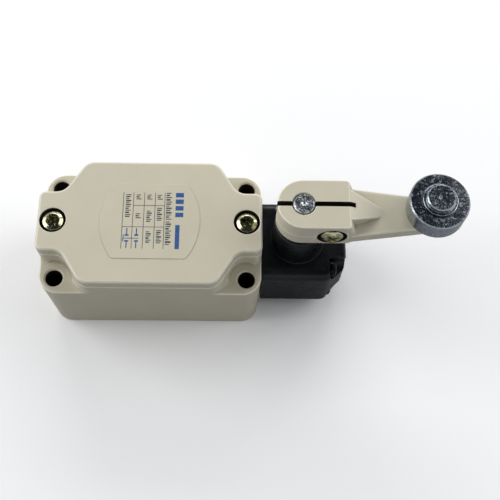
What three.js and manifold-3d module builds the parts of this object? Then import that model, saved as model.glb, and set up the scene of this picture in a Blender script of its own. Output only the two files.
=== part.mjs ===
// Rotary roller-lever limit switch, lying on its mounting face.
//
// Frame: origin at the centre of the four mounting holes, on the mounting face (z = 0).
// +X runs from the box to the head and the roller, +Z from the mounting face to the cover,
// +Y completes the right hand. All sizes are in millimetres.

import * as THREE from "three";
import { mergeVertices } from "three/addons/utils/BufferGeometryUtils.js";
import Module from "manifold-3d";

const wasm = await Module();
wasm.setup();

// ---- Driving dimensions -------------------------------------------------------------------

const GAP = 0.3; // clearance between pieces that touch

// Mounting pattern of this switch type
const HOLE_PITCH_X = 58.7;
const HOLE_PITCH_Y = 30.2;
const MOUNTING_HOLE_RADIUS = 2.65;

// Box
const HALF_LENGTH = 34;
const HALF_WIDTH = 20;
const CORNER_RADIUS = 6;
const DRAFT = 0.6; // how much narrower each side is at the mounting face
const EAR_TOP = 29.2;
const RIM_TOP = 34.6;
const FLOOR_TOP = 3;
const WALL = 2.8;

// Corner notches that clear the mounting bolts
const END_HALF_WIDTH = 9.7;
const NOTCH_INNER_X = 26.6;
const NOTCH_OUTER_X = 20.2;
const NOTCH_RADIUS = 4.5;
const NOSE_RADIUS = 2;
const FLANK_SHIFT = 0.557; // how far the slanted flank's ends move along X per millimetre of inset

// Cover
const COVER_BOTTOM = RIM_TOP + GAP;
const COVER_TOP = 38.9;
const COVER_SKIN = 2;
const COVER_SCREW_X = 29.3;
const COVER_SCREW_RECESS = 4;
const COVER_SCREW_SEAT = COVER_TOP - 2.6;

// Conduit entry, size G1/2
const CONDUIT_RADIUS = 9.3;
const CONDUIT_PAD_RADIUS = 12.6;
const CONDUIT_Z = 14.6;

// Head
const HEAD_START = HALF_LENGTH + GAP;
const HEAD_END = 60.9;
const HEAD_HALF_WIDTH = 13.1;
const HEAD_Z = 14.5;
const HEAD_HALF_HEIGHT = 11.4;
const HEAD_NOSE_RADIUS = 7;
const HEAD_EDGE_RADIUS = 3;
const HEAD_POCKET_RADIUS = 8.6;
const HEAD_POCKET_END = 54.5;
const HEAD_SCREW_OFFSET = 8.8;
const HEAD_SCREW_SEAT = 55.5;
const HEAD_SCREW_RECESS = 3.5;
const BOSS_RADIUS = 7.8;
const BOSS_TOP = 39.5;

// Shaft, cam and bearing
const SHAFT_X = 45.5;
const SHAFT_RADIUS = 3.15;
const SHAFT_TOP = 52.6;
const SHAFT_FOOT = 4.5;
const JOURNAL_RADIUS = 2.2;
const JOURNAL_TOP = 8;
const BEARING_RADIUS = 5.2;
const CAM_RADIUS = 7.4;
const CAM_FLAT = 4.6;
const CAM_BOTTOM = 11;
const CAM_TOP = 18;
const CLIP_BOTTOM = 20.2;

// Lever
const LEVER_BOTTOM = 41.2;
const LEVER_TOP = 52.4;
const COLLAR_RADIUS = 7.55;
const COLLAR_END = 59.1;
const ARM_BOTTOM = 42.4;
const ARM_TOP = 46.8;
const ARM_ROOT_X = 60;
const ARM_ROOT_HALF_WIDTH = 7.8;
const ARM_TIP_RADIUS = 4.7;
const SLOT_HALF_WIDTH = 0.75;
const SLOT_END = 60.6;
const RAMP_END = 68.9;
const RAMP_HALF_WIDTH = 4.9;
const RAMP_TIP_HALF_WIDTH = 1.5;

// Clamp screw across the collar
const CLAMP_X = 54;
const CLAMP_Z = 46.2;
const CLAMP_RECESS_RADIUS = 4.45;
const CLAMP_SEAT_Y = -4;

// Roller
const LEVER_REACH = 38.8;
const ROLLER_X = SHAFT_X + LEVER_REACH;
const ROLLER_RADIUS = 8.75;
const ROLLER_BOTTOM = 48.4;
const ROLLER_WIDTH = 7;
const PIN_RADIUS = 2.5;
const PIN_FLANGE_RADIUS = 5.1;
const PIN_HEAD_RADIUS = 4.2;

// Plunger between the cam and the built-in switch
const PLUNGER_TRAVEL = 1.8;
const PLUNGER_NOSE = SHAFT_X - CAM_RADIUS - GAP;
const PLUNGER_DISC_RADIUS = 6;
const PLUNGER_DISC_BACK = PLUNGER_NOSE - 2;
const PLUNGER_STEM_RADIUS = 2.2;
const PLUNGER_STEM_END = 23.2;
const GUIDE_BACK = 26.3;
const GUIDE_SEAT = 28.3;
const GUIDE_FRONT = PLUNGER_DISC_BACK - PLUNGER_TRAVEL - 0.4;
const GUIDE_RADIUS = 6.3;
const GUIDE_FLANGE_RADIUS = 8.2;
const GUIDE_FLANGE_BACK = HALF_LENGTH - 1.5;

// Built-in switch
const CASE_BACK = -14;
const CASE_FRONT = 17.7;
const CASE_LID_END = 20;
const CASE_HALF_WIDTH = 12.3;
const CASE_BOTTOM = 6.3;
const CASE_TOP = 26.5;
const CHAMBER = { back: 2, halfWidth: 9.6, bottom: 9, top: 21.5 };
const TERMINAL_BED = 24;
const TERMINAL_BOTTOM = TERMINAL_BED + GAP;
const TERMINAL_THICKNESS = 1;
const TERMINAL_Y = 8.4;
const OPEN_TERMINAL_X = -10;
const CLOSED_TERMINAL_X = -2.4;
const OPEN_CONTACT_X = 4.6;
const CLOSED_CONTACT_X = 8.9;
const OPEN_STRIP = [3.2, 5];
const CLOSED_STRIP = [5.9, 9.2];
const BRIDGE_X = 7.6;
const BUTTON_TIP = PLUNGER_STEM_END - GAP;
const BUTTON_SHOULDER = 12.5;
const BUTTON_TAIL = 4.2;
const BUTTON_RADIUS = 2;
const BUTTON_TAIL_RADIUS = 0.9;
const CASE_SCREW_X = [-10, -1.5];

// How many flats stand for a full round
const FINE = 36;
const ROUND = 24;
const MEDIUM = 16;
const SMALL = 10;

const EARTH = { x: -18, y: -12.2, top: 9 };

// ---- Helpers ------------------------------------------------------------------------------

// A closed three.js geometry as a solid, with shared vertices merged and faces pointing out.
function solid(geometry) {
  const bare = geometry.clone();
  bare.deleteAttribute("normal");
  bare.deleteAttribute("uv");
  const merged = mergeVertices(bare, 1e-5);
  const index = merged.index.array;
  const position = merged.attributes.position;
  const corners = [0, 1, 2].map(() => new THREE.Vector3());
  const kept = [];
  let volume = 0;
  for (let i = 0; i < index.length; i += 3) {
    const triangle = [index[i], index[i + 1], index[i + 2]];
    if (new Set(triangle).size < 3) continue;
    corners.forEach((corner, k) => corner.fromBufferAttribute(position, triangle[k]));
    volume += corners[0].dot(corners[1].clone().cross(corners[2]));
    kept.push(...triangle);
  }
  const triVerts = volume < 0 ? kept.reverse() : kept;
  return new wasm.Manifold(
    new wasm.Mesh({
      numProp: 3,
      vertProperties: new Float32Array(position.array),
      triVerts: new Uint32Array(triVerts),
    }),
  );
}

// A solid as a plain three.js geometry with flat normals.
function geometryOf(body) {
  const mesh = body.getMesh();
  const geometry = new THREE.BufferGeometry();
  geometry.setAttribute("position", new THREE.BufferAttribute(mesh.vertProperties, 3));
  geometry.setIndex(new THREE.BufferAttribute(mesh.triVerts, 1));
  geometry.computeVertexNormals();
  return geometry;
}

const join = (first, ...others) => others.reduce((body, other) => body.add(other), first);
const cut = (first, ...others) => others.reduce((body, other) => body.subtract(other), first);

// Turn a geometry made about the Y axis so that it lies along the named axis.
function aim(geometry, axis) {
  if (axis === "x") return geometry.rotateZ(-Math.PI / 2);
  if (axis === "z") return geometry.rotateX(Math.PI / 2);
  return geometry;
}

// Place a geometry whose axis passes through (a, b), the two other coordinates in x, y, z order.
function centre(geometry, axis, [a, b]) {
  if (axis === "x") return geometry.translate(0, a, b);
  if (axis === "z") return geometry.translate(a, b, 0);
  return geometry.translate(a, 0, b);
}

function box(x0, x1, y0, y1, z0, z1) {
  const geometry = new THREE.BoxGeometry(x1 - x0, y1 - y0, z1 - z0);
  return solid(geometry.translate((x0 + x1) / 2, (y0 + y1) / 2, (z0 + z1) / 2));
}

// A body of revolution from [radius, height] pairs that start and end on the axis.
function turned(axis, profile, at, segments = ROUND) {
  const points = profile.map(([radius, height]) => new THREE.Vector2(radius, height));
  return solid(centre(aim(new THREE.LatheGeometry(points, segments), axis), axis, at));
}

function rod(axis, radius, from, to, at, segments = ROUND) {
  const profile = [[0, from], [radius, from], [radius, to], [0, to]];
  return turned(axis, profile, at, segments);
}

function tube(axis, inner, outer, from, to, at, segments = ROUND) {
  const profile = [[inner, from], [outer, from], [outer, to], [inner, to], [inner, from]];
  return turned(axis, profile, at, segments);
}

// A closed outline from [x, y, radius] corners, each rounded by a true arc.
function roundedOutline(corners) {
  const shape = new THREE.Shape();
  corners.forEach(([x, y, radius], i) => {
    const corner = new THREE.Vector2(x, y);
    const [bx, by] = corners[(i + corners.length - 1) % corners.length];
    const [nx, ny] = corners[(i + 1) % corners.length];
    const back = new THREE.Vector2(bx, by).sub(corner).normalize();
    const ahead = new THREE.Vector2(nx, ny).sub(corner).normalize();
    const half = Math.acos(back.dot(ahead)) / 2;
    const middle = back.clone().add(ahead).normalize();
    const arcCentre = corner.clone().add(middle.multiplyScalar(radius / Math.sin(half)));
    const reach = radius / Math.tan(half);
    const start = corner.clone().add(back.clone().multiplyScalar(reach)).sub(arcCentre);
    const end = corner.clone().add(ahead.clone().multiplyScalar(reach)).sub(arcCentre);
    const clockwise = back.cross(ahead) > 0;
    shape.absarc(arcCentre.x, arcCentre.y, radius, start.angle(), end.angle(), clockwise);
  });
  return shape;
}

function rectangle(x0, x1, y0, y1, radius) {
  return roundedOutline([[x0, y0, radius], [x1, y0, radius], [x1, y1, radius], [x0, y1, radius]]);
}

function extruded(shape, z0, z1, curveSegments) {
  const options = { depth: z1 - z0, bevelEnabled: false, curveSegments };
  return new THREE.ExtrudeGeometry(shape, options).translate(0, 0, z0);
}

function prism(shape, z0, z1, curveSegments = 2) {
  return solid(extruded(shape, z0, z1, curveSegments));
}

// The outline shared by the rim and the cover, moved inwards by inset.
function notchedOutline(inset) {
  const shift = FLANK_SHIFT * inset;
  const quarter = [
    [HALF_LENGTH - inset, END_HALF_WIDTH - inset, Math.max(NOSE_RADIUS - inset, 0.5)],
    [NOTCH_INNER_X - shift, END_HALF_WIDTH - inset, NOTCH_RADIUS + inset],
    [NOTCH_OUTER_X - shift, HALF_WIDTH - inset, Math.max(NOTCH_RADIUS - inset, 1)],
  ];
  const mirrored = (sx, sy) => quarter.map(([x, y, radius]) => [x * sx, y * sy, radius]);
  return roundedOutline([
    ...mirrored(1, 1),
    ...mirrored(-1, 1).reverse(),
    ...mirrored(-1, -1),
    ...mirrored(1, -1).reverse(),
  ]);
}

// A helical spring of round wire along the plunger's axis, with flat cut ends.
function coil(centreRadius, wireRadius, from, to, turns, stepsPerTurn = 9) {
  const points = [];
  const steps = turns * stepsPerTurn;
  const first = from + wireRadius;
  const last = to - wireRadius;
  for (let i = 0; i <= steps; i += 1) {
    const angle = (2 * Math.PI * i) / stepsPerTurn;
    const x = first + ((last - first) * i) / steps;
    const z = HEAD_Z + centreRadius * Math.sin(angle);
    points.push(new THREE.Vector3(x, centreRadius * Math.cos(angle), z));
  }
  const section = new THREE.Shape().absarc(0, 0, wireRadius, 0, 2 * Math.PI, false);
  const extrudePath = new THREE.CatmullRomCurve3(points);
  const options = { steps, extrudePath, curveSegments: 2, bevelEnabled: false };
  return solid(new THREE.ExtrudeGeometry(section, options));
}

// A pan-head screw along +Z with its head's seat at z = 0.
function plainScrew(shankRadius, shankLength, headRadius, headHeight, segments = SMALL) {
  return turned("z", [
    [0, -shankLength],
    [shankRadius, -shankLength],
    [shankRadius, 0],
    [headRadius, 0],
    [headRadius, headHeight * 0.6],
    [headRadius * 0.6, headHeight],
    [0, headHeight],
  ], [0, 0], segments);
}

// The same screw with a cross recess in its head.
function crossScrew(shankRadius, shankLength, headRadius, headHeight) {
  const body = plainScrew(shankRadius, shankLength, headRadius, headHeight, MEDIUM);
  const reach = headRadius * 0.52;
  const blade = headRadius * 0.13;
  const depth = headHeight * 0.5;
  const crossed = join(
    box(-reach, reach, -blade, blade, depth, headHeight + 1),
    box(-blade, blade, -reach, reach, depth, headHeight + 1),
  );
  return cut(body, crossed);
}

const palette = {
  paint: { color: 0xc5c0aa, roughness: 0.45, metalness: 0.1 },
  black: { color: 0x0c1014, roughness: 0.35, metalness: 0 },
  zinc: { color: 0xa39a5c, roughness: 0.3, metalness: 1 },
  steel: { color: 0xb9bcbf, roughness: 0.25, metalness: 1 },
  brass: { color: 0xc2a35a, roughness: 0.35, metalness: 1 },
  bronze: { color: 0x8f6f45, roughness: 0.55, metalness: 1 },
  blackened: { color: 0x17181a, roughness: 0.4, metalness: 1 },
  rubber: { color: 0x1c1c1d, roughness: 0.85, metalness: 0 },
  phenolic: { color: 0x3b2a22, roughness: 0.5, metalness: 0 },
  nylon: { color: 0xe6e2d4, roughness: 0.5, metalness: 0 },
};

const limitSwitch = new THREE.Group();

// Add one named piece, placed and turned as given.
function piece(name, body, finish, position = [0, 0, 0], rotation = [0, 0, 0]) {
  const mesh = new THREE.Mesh(geometryOf(body), new THREE.MeshStandardMaterial(palette[finish]));
  mesh.name = name;
  mesh.position.set(...position);
  mesh.rotation.set(...rotation);
  limitSwitch.add(mesh);
}

const SIGNS = [[-1, -1], [1, -1], [-1, 1], [1, 1]];

// ---- Box and cover ------------------------------------------------------------------------

// The box below the ears, narrowing evenly towards the mounting face.
function draftedBlock() {
  const outline = rectangle(-HALF_LENGTH, HALF_LENGTH, -HALF_WIDTH, HALF_WIDTH, CORNER_RADIUS);
  const geometry = extruded(outline, 0, EAR_TOP, 3);
  const position = geometry.attributes.position;
  for (let i = 0; i < position.count; i += 1) {
    const share = 1 - position.getZ(i) / EAR_TOP;
    position.setX(i, position.getX(i) * (1 - (DRAFT * share) / HALF_LENGTH));
    position.setY(i, position.getY(i) * (1 - (DRAFT * share) / HALF_WIDTH));
  }
  return solid(geometry);
}

function housing() {
  const headPad = box(
    HALF_LENGTH - 6, HALF_LENGTH,
    -HEAD_HALF_WIDTH, HEAD_HALF_WIDTH,
    HEAD_Z - HEAD_HALF_HEIGHT, HEAD_Z + HEAD_HALF_HEIGHT,
  );
  const conduitPad = rod("x", CONDUIT_PAD_RADIUS, -HALF_LENGTH, 6 - HALF_LENGTH, [0, CONDUIT_Z]);
  const shell = join(draftedBlock(), prism(notchedOutline(0), EAR_TOP - 3, RIM_TOP), headPad, conduitPad);
  const hollow = cut(shell, prism(notchedOutline(WALL), FLOOR_TOP, RIM_TOP + 1));
  const posts = [-1, 1].map((side) =>
    rod("z", 3.2, RIM_TOP - 9.6, RIM_TOP, [side * COVER_SCREW_X, 0], MEDIUM),
  );
  const caseBosses = CASE_SCREW_X.map((x) => rod("z", 3.2, FLOOR_TOP - 1, CASE_BOTTOM - GAP, [x, 0], MEDIUM));
  const earthBoss = rod("z", 3.3, FLOOR_TOP - 1, EARTH.top, [EARTH.x, EARTH.y], MEDIUM);
  const body = join(hollow, ...posts, ...caseBosses, earthBoss);
  const ends = [0, HEAD_Z];
  return cut(
    body,
    ...SIGNS.map(([sx, sy]) =>
      rod("z", MOUNTING_HOLE_RADIUS, -1, EAR_TOP + 1, [(sx * HOLE_PITCH_X) / 2, (sy * HOLE_PITCH_Y) / 2], MEDIUM),
    ),
    ...[-1, 1].map((side) => rod("z", 1.7, RIM_TOP - 8, RIM_TOP + 1, [side * COVER_SCREW_X, 0], SMALL)),
    ...CASE_SCREW_X.map((x) => rod("z", 1.5, 1.4, CASE_BOTTOM, [x, 0], SMALL)),
    rod("z", 1.7, 1.4, EARTH.top + 1, [EARTH.x, EARTH.y], SMALL),
    rod("x", CONDUIT_RADIUS, -HALF_LENGTH - 1, -20, [0, CONDUIT_Z]),
    rod("x", GUIDE_RADIUS + GAP, HALF_LENGTH - 6, HALF_LENGTH + 1, ends),
    rod("x", GUIDE_FLANGE_RADIUS + GAP, GUIDE_FLANGE_BACK - GAP, HALF_LENGTH + 1, ends),
    ...SIGNS.map(([sy, sz]) =>
      rod("x", 1.8, 25, HALF_LENGTH + 1, [sy * HEAD_SCREW_OFFSET, HEAD_Z + sz * HEAD_SCREW_OFFSET], SMALL),
    ),
  );
}

function cover() {
  const plate = prism(notchedOutline(0), COVER_BOTTOM, COVER_TOP);
  const underside = prism(rectangle(-23, 23, -16.5, 16.5, 5), COVER_BOTTOM - 1, COVER_TOP - COVER_SKIN);
  const groove = cut(
    prism(notchedOutline(0.6), COVER_BOTTOM - 1, COVER_BOTTOM + 1.3),
    prism(notchedOutline(2.2), COVER_BOTTOM - 2, COVER_BOTTOM + 2),
  );
  const screwHoles = [-1, 1].flatMap((side) => [
    rod("z", COVER_SCREW_RECESS, COVER_SCREW_SEAT, COVER_TOP + 1, [side * COVER_SCREW_X, 0]),
    rod("z", 2.2, COVER_BOTTOM - 1, COVER_TOP, [side * COVER_SCREW_X, 0], SMALL),
  ]);
  return cut(plate, underside, groove, ...screwHoles);
}

function coverGasket() {
  const outer = prism(notchedOutline(0.9), COVER_BOTTOM, COVER_BOTTOM + 1);
  return cut(outer, prism(notchedOutline(1.9), COVER_BOTTOM - 1, COVER_BOTTOM + 2));
}

piece("housing", housing(), "paint");
piece("cover", cover(), "paint");
piece("cover_gasket", coverGasket(), "rubber");
for (const [side, name] of [[-1, "cover_screw_left"], [1, "cover_screw_right"]]) {
  piece(name, crossScrew(1.4, 8.5, 3.3, 2.2), "zinc", [side * COVER_SCREW_X, 0, COVER_SCREW_SEAT + GAP]);
}

// ---- Head ---------------------------------------------------------------------------------

function head() {
  const plan = roundedOutline([
    [HEAD_START, -HEAD_HALF_WIDTH, 0.5],
    [HEAD_END, -HEAD_HALF_WIDTH, HEAD_NOSE_RADIUS],
    [HEAD_END, HEAD_HALF_WIDTH, HEAD_NOSE_RADIUS],
    [HEAD_START, HEAD_HALF_WIDTH, 0.5],
  ]);
  const block = prism(plan, HEAD_Z - HEAD_HALF_HEIGHT, HEAD_Z + HEAD_HALF_HEIGHT, 7);
  const section = rectangle(
    -HEAD_HALF_HEIGHT, HEAD_HALF_HEIGHT, -HEAD_HALF_WIDTH, HEAD_HALF_WIDTH, HEAD_EDGE_RADIUS,
  );
  const envelope = solid(extruded(section, -70, 0, 3).rotateY(-Math.PI / 2).translate(0, 0, HEAD_Z));
  const boss = rod("z", BOSS_RADIUS, HEAD_Z + 9, BOSS_TOP, [SHAFT_X, 0]);
  const screwHoles = SIGNS.flatMap(([sy, sz]) => {
    const at = [sy * HEAD_SCREW_OFFSET, HEAD_Z + sz * HEAD_SCREW_OFFSET];
    return [
      rod("x", 1.9, HEAD_START - 1, HEAD_SCREW_SEAT + 1, at, SMALL),
      rod("x", HEAD_SCREW_RECESS, HEAD_SCREW_SEAT, HEAD_END + 1, at, MEDIUM),
    ];
  });
  return cut(
    join(block.intersect(envelope), boss),
    rod("x", HEAD_POCKET_RADIUS, HEAD_START - 1, HEAD_POCKET_END, [0, HEAD_Z]),
    rod("x", 10.1, HEAD_START - 1, HEAD_START + 1.2, [0, HEAD_Z]),
    rod("z", BEARING_RADIUS, HEAD_Z + 5, BOSS_TOP + 1, [SHAFT_X, 0]),
    rod("z", JOURNAL_RADIUS + GAP, SHAFT_FOOT - GAP, JOURNAL_TOP + 2, [SHAFT_X, 0], MEDIUM),
    ...screwHoles,
  );
}

function shaft() {
  const body = turned("z", [
    [0, SHAFT_FOOT],
    [JOURNAL_RADIUS, SHAFT_FOOT],
    [JOURNAL_RADIUS, JOURNAL_TOP],
    [SHAFT_RADIUS, JOURNAL_TOP],
    [SHAFT_RADIUS, CLIP_BOTTOM - GAP],
    [SHAFT_RADIUS - 0.75, CLIP_BOTTOM - GAP],
    [SHAFT_RADIUS - 0.75, CLIP_BOTTOM + 0.8 + GAP],
    [SHAFT_RADIUS, CLIP_BOTTOM + 0.8 + GAP],
    [SHAFT_RADIUS, SHAFT_TOP - 0.5],
    [SHAFT_RADIUS - 0.5, SHAFT_TOP],
    [0, SHAFT_TOP],
  ], [SHAFT_X, 0], MEDIUM);
  return cut(body, rod("y", 1.3, -5, 5, [SHAFT_X, (CAM_BOTTOM + CAM_TOP) / 2], SMALL));
}

// A disc with a flat that faces the plunger at rest; its round lobes press it either way.
function cam() {
  const disc = tube("z", SHAFT_RADIUS + GAP, CAM_RADIUS, CAM_BOTTOM, CAM_TOP, [SHAFT_X, 0]);
  const flat = box(SHAFT_X - 10, SHAFT_X - CAM_FLAT, -4.2, 4.2, CAM_BOTTOM - 1, CAM_TOP + 1);
  return cut(disc, flat, rod("y", 1.3, -9, 9, [SHAFT_X, (CAM_BOTTOM + CAM_TOP) / 2], SMALL));
}

function retainingClip() {
  const ring = tube("z", SHAFT_RADIUS - 0.45, 4.7, CLIP_BOTTOM, CLIP_BOTTOM + 0.8, [SHAFT_X, 0], MEDIUM);
  return cut(ring, box(SHAFT_X, SHAFT_X + 6, -1.6, 1.6, CLIP_BOTTOM - 1, CLIP_BOTTOM + 2));
}

piece("head", head(), "black");
piece("head_gasket", tube("x", 8.9, 9.8, HEAD_START + 0.2, HEAD_START + 0.9, [0, HEAD_Z]), "rubber");
SIGNS.forEach(([sy, sz], i) => {
  const place = [HEAD_SCREW_SEAT + GAP, sy * HEAD_SCREW_OFFSET, HEAD_Z + sz * HEAD_SCREW_OFFSET];
  piece(`head_screw_${i + 1}`, crossScrew(1.5, 29.5, 2.6, 2.2), "blackened", place, [0, Math.PI / 2, 0]);
});
piece("shaft_bushing", tube("z", SHAFT_RADIUS + GAP, 4.9, 27, 36, [SHAFT_X, 0]), "bronze");
piece("shaft_seal", tube("z", SHAFT_RADIUS + GAP, 4.9, 36.4, 38.4, [SHAFT_X, 0], MEDIUM), "rubber");
piece("position_plate", tube("z", SHAFT_RADIUS + GAP, 7.4, 39.9, 40.7, [SHAFT_X, 0]), "black");
piece("shaft", shaft(), "steel");
piece("cam", cam(), "steel");
piece("cam_pin", rod("y", 1, -5.5, 5.5, [SHAFT_X, (CAM_BOTTOM + CAM_TOP) / 2], SMALL), "steel");
piece("retaining_clip", retainingClip(), "steel");

// ---- Lever and roller ---------------------------------------------------------------------

// The clamp block: a half-round end about the shaft and a square end towards the arm.
function collar() {
  const shape = new THREE.Shape();
  shape.absarc(SHAFT_X, 0, COLLAR_RADIUS, Math.PI / 2, (3 * Math.PI) / 2, false);
  shape.lineTo(COLLAR_END - 1, -COLLAR_RADIUS);
  shape.lineTo(COLLAR_END, 1 - COLLAR_RADIUS);
  shape.lineTo(COLLAR_END, COLLAR_RADIUS - 1);
  shape.lineTo(COLLAR_END - 1, COLLAR_RADIUS);
  return prism(shape, LEVER_BOTTOM, LEVER_TOP, 12);
}

function arm() {
  const shape = new THREE.Shape();
  shape.moveTo(ARM_ROOT_X - 4, -ARM_ROOT_HALF_WIDTH + 1);
  shape.lineTo(ARM_ROOT_X, -ARM_ROOT_HALF_WIDTH);
  shape.absarc(ROLLER_X, 0, ARM_TIP_RADIUS, -Math.PI * 0.46, Math.PI * 0.46, false);
  shape.lineTo(ARM_ROOT_X, ARM_ROOT_HALF_WIDTH);
  shape.lineTo(ARM_ROOT_X - 4, ARM_ROOT_HALF_WIDTH - 1);
  return prism(shape, ARM_BOTTOM, ARM_TOP, 8);
}

// The tapering ramp that runs from the top of the collar down onto the arm.
function ramp() {
  const plan = new THREE.Shape();
  const root = COLLAR_END - 2;
  plan.moveTo(root, -RAMP_HALF_WIDTH);
  plan.lineTo(COLLAR_END, -RAMP_HALF_WIDTH);
  plan.lineTo(RAMP_END, -RAMP_TIP_HALF_WIDTH);
  plan.lineTo(RAMP_END, RAMP_TIP_HALF_WIDTH);
  plan.lineTo(COLLAR_END, RAMP_HALF_WIDTH);
  plan.lineTo(root, RAMP_HALF_WIDTH);
  const side = new THREE.Shape();
  side.moveTo(root, ARM_TOP - 1);
  side.lineTo(RAMP_END, ARM_TOP - 1);
  side.lineTo(RAMP_END, ARM_TOP);
  side.lineTo(COLLAR_END, LEVER_TOP);
  side.lineTo(root, LEVER_TOP);
  const wedge = solid(extruded(side, -8, 8, 1).rotateX(Math.PI / 2));
  return prism(plan, ARM_TOP - 2, LEVER_TOP + 1).intersect(wedge);
}

function lever() {
  const clampAxis = [CLAMP_X, CLAMP_Z];
  return cut(
    join(collar(), arm(), ramp()),
    rod("z", SHAFT_RADIUS + GAP, LEVER_BOTTOM - 1, LEVER_TOP + 1, [SHAFT_X, 0]),
    box(SHAFT_X - 10, SLOT_END, -SLOT_HALF_WIDTH, SLOT_HALF_WIDTH, LEVER_BOTTOM - 1, LEVER_TOP + 1),
    rod("y", 2.3, -9, 9, clampAxis, SMALL),
    rod("y", CLAMP_RECESS_RADIUS, -9, CLAMP_SEAT_Y, clampAxis),
    rod("z", PIN_RADIUS + GAP, ARM_BOTTOM - 1, ARM_TOP + 1, [ROLLER_X, 0], MEDIUM),
  );
}

function roller() {
  const top = ROLLER_BOTTOM + ROLLER_WIDTH;
  const bore = PIN_RADIUS + GAP;
  const edge = 0.5;
  const profile = [
    [bore, ROLLER_BOTTOM],
    [ROLLER_RADIUS - edge, ROLLER_BOTTOM],
    [ROLLER_RADIUS, ROLLER_BOTTOM + edge],
    [ROLLER_RADIUS, top - edge],
    [ROLLER_RADIUS - edge, top],
    [bore, top],
    [bore, ROLLER_BOTTOM],
  ];
  return turned("z", profile, [ROLLER_X, 0], FINE);
}

// A shouldered rivet: peened foot under the arm, shank, retaining flange and round head.
function rollerPin() {
  const flange = ROLLER_BOTTOM + ROLLER_WIDTH + GAP;
  const foot = ARM_BOTTOM - GAP;
  return turned("z", [
    [0, foot - 0.9],
    [3.4, foot - 0.9],
    [3.4, foot],
    [PIN_RADIUS, foot],
    [PIN_RADIUS, flange],
    [PIN_FLANGE_RADIUS, flange],
    [PIN_FLANGE_RADIUS, flange + 0.5],
    [PIN_HEAD_RADIUS, flange + 0.5],
    [PIN_HEAD_RADIUS, flange + 1.6],
    [PIN_HEAD_RADIUS - 0.4, flange + 2],
    [0, flange + 2],
  ], [ROLLER_X, 0], MEDIUM);
}

piece("lever", lever(), "paint");
piece(
  "clamp_washer",
  tube("y", 2.3, 3.9, CLAMP_SEAT_Y - GAP - 0.8, CLAMP_SEAT_Y - GAP, [CLAMP_X, CLAMP_Z], MEDIUM),
  "zinc",
);
piece(
  "clamp_screw",
  crossScrew(1.9, 12.2, 3.6, 3.2),
  "zinc",
  [CLAMP_X, CLAMP_SEAT_Y - GAP - 0.8 - GAP, CLAMP_Z],
  [Math.PI / 2, 0, 0],
);
piece("roller_pin", rollerPin(), "steel");
piece("roller", roller(), "steel");
piece("roller_washer", tube("z", PIN_RADIUS + GAP, 5.2, ARM_TOP + GAP, 48.1, [ROLLER_X, 0], MEDIUM), "steel");

// ---- Plunger ------------------------------------------------------------------------------

function plunger() {
  return turned("x", [
    [0, PLUNGER_STEM_END],
    [PLUNGER_STEM_RADIUS - 0.4, PLUNGER_STEM_END],
    [PLUNGER_STEM_RADIUS, PLUNGER_STEM_END + 0.4],
    [PLUNGER_STEM_RADIUS, PLUNGER_DISC_BACK],
    [PLUNGER_DISC_RADIUS, PLUNGER_DISC_BACK],
    [PLUNGER_DISC_RADIUS, PLUNGER_NOSE - 0.8],
    [PLUNGER_DISC_RADIUS - 1.6, PLUNGER_NOSE],
    [0, PLUNGER_NOSE],
  ], [0, HEAD_Z]);
}

// A flanged cup in the box's end wall that guides the stem and holds the spring.
function plungerGuide() {
  const bore = PLUNGER_STEM_RADIUS + GAP;
  const profile = [
    [bore, GUIDE_BACK],
    [GUIDE_RADIUS, GUIDE_BACK],
    [GUIDE_RADIUS, GUIDE_FLANGE_BACK],
    [GUIDE_FLANGE_RADIUS, GUIDE_FLANGE_BACK],
    [GUIDE_FLANGE_RADIUS, GUIDE_FRONT],
    [5.4, GUIDE_FRONT],
    [5.4, GUIDE_SEAT],
    [bore, GUIDE_SEAT],
    [bore, GUIDE_BACK],
  ];
  return turned("x", profile, [0, HEAD_Z]);
}

piece("plunger", plunger(), "steel");
piece("plunger_guide", plungerGuide(), "nylon");
piece("plunger_spring", coil(4.2, 0.45, GUIDE_SEAT + GAP, PLUNGER_DISC_BACK - GAP, 5), "steel");

// ---- Built-in switch ----------------------------------------------------------------------

// The Y range from near to far on the given side of the middle.
const span = (side, near, far) => (side < 0 ? [-far, -near] : [near, far]);

function switchCase() {
  const block = box(CASE_BACK, CASE_FRONT, -CASE_HALF_WIDTH, CASE_HALF_WIDTH, CASE_BOTTOM, CASE_TOP);
  const chamber = box(
    CHAMBER.back, CASE_FRONT + 1,
    -CHAMBER.halfWidth, CHAMBER.halfWidth,
    CHAMBER.bottom, CHAMBER.top,
  );
  const legSlot = (side, contactX, [near, far]) => {
    const across = span(side, near - GAP, far + GAP);
    return box(contactX - 0.4, contactX + 1.2, ...across, CHAMBER.top - 1, TERMINAL_BED + 1);
  };
  const perSide = [-1, 1].flatMap((side) => [
    box(CASE_BACK + 0.4, CLOSED_CONTACT_X + 1.2, ...span(side, 2.9, 11.7), TERMINAL_BED, CASE_TOP + 1),
    legSlot(side, OPEN_CONTACT_X, OPEN_STRIP),
    legSlot(side, CLOSED_CONTACT_X, CLOSED_STRIP),
    rod("z", 1.9, 18.4, TERMINAL_BED + 1, [OPEN_TERMINAL_X, side * TERMINAL_Y], SMALL),
    rod("z", 1.9, 18.4, TERMINAL_BED + 1, [CLOSED_TERMINAL_X, side * TERMINAL_Y], SMALL),
  ]);
  const screwHoles = CASE_SCREW_X.flatMap((x) => [
    rod("z", 1.6, CASE_BOTTOM - 1, CASE_TOP + 1, [x, 0], SMALL),
    rod("z", 2.7, CASE_TOP - 3, CASE_TOP + 1, [x, 0], SMALL),
  ]);
  return cut(block, chamber, ...perSide, ...screwHoles);
}

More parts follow.
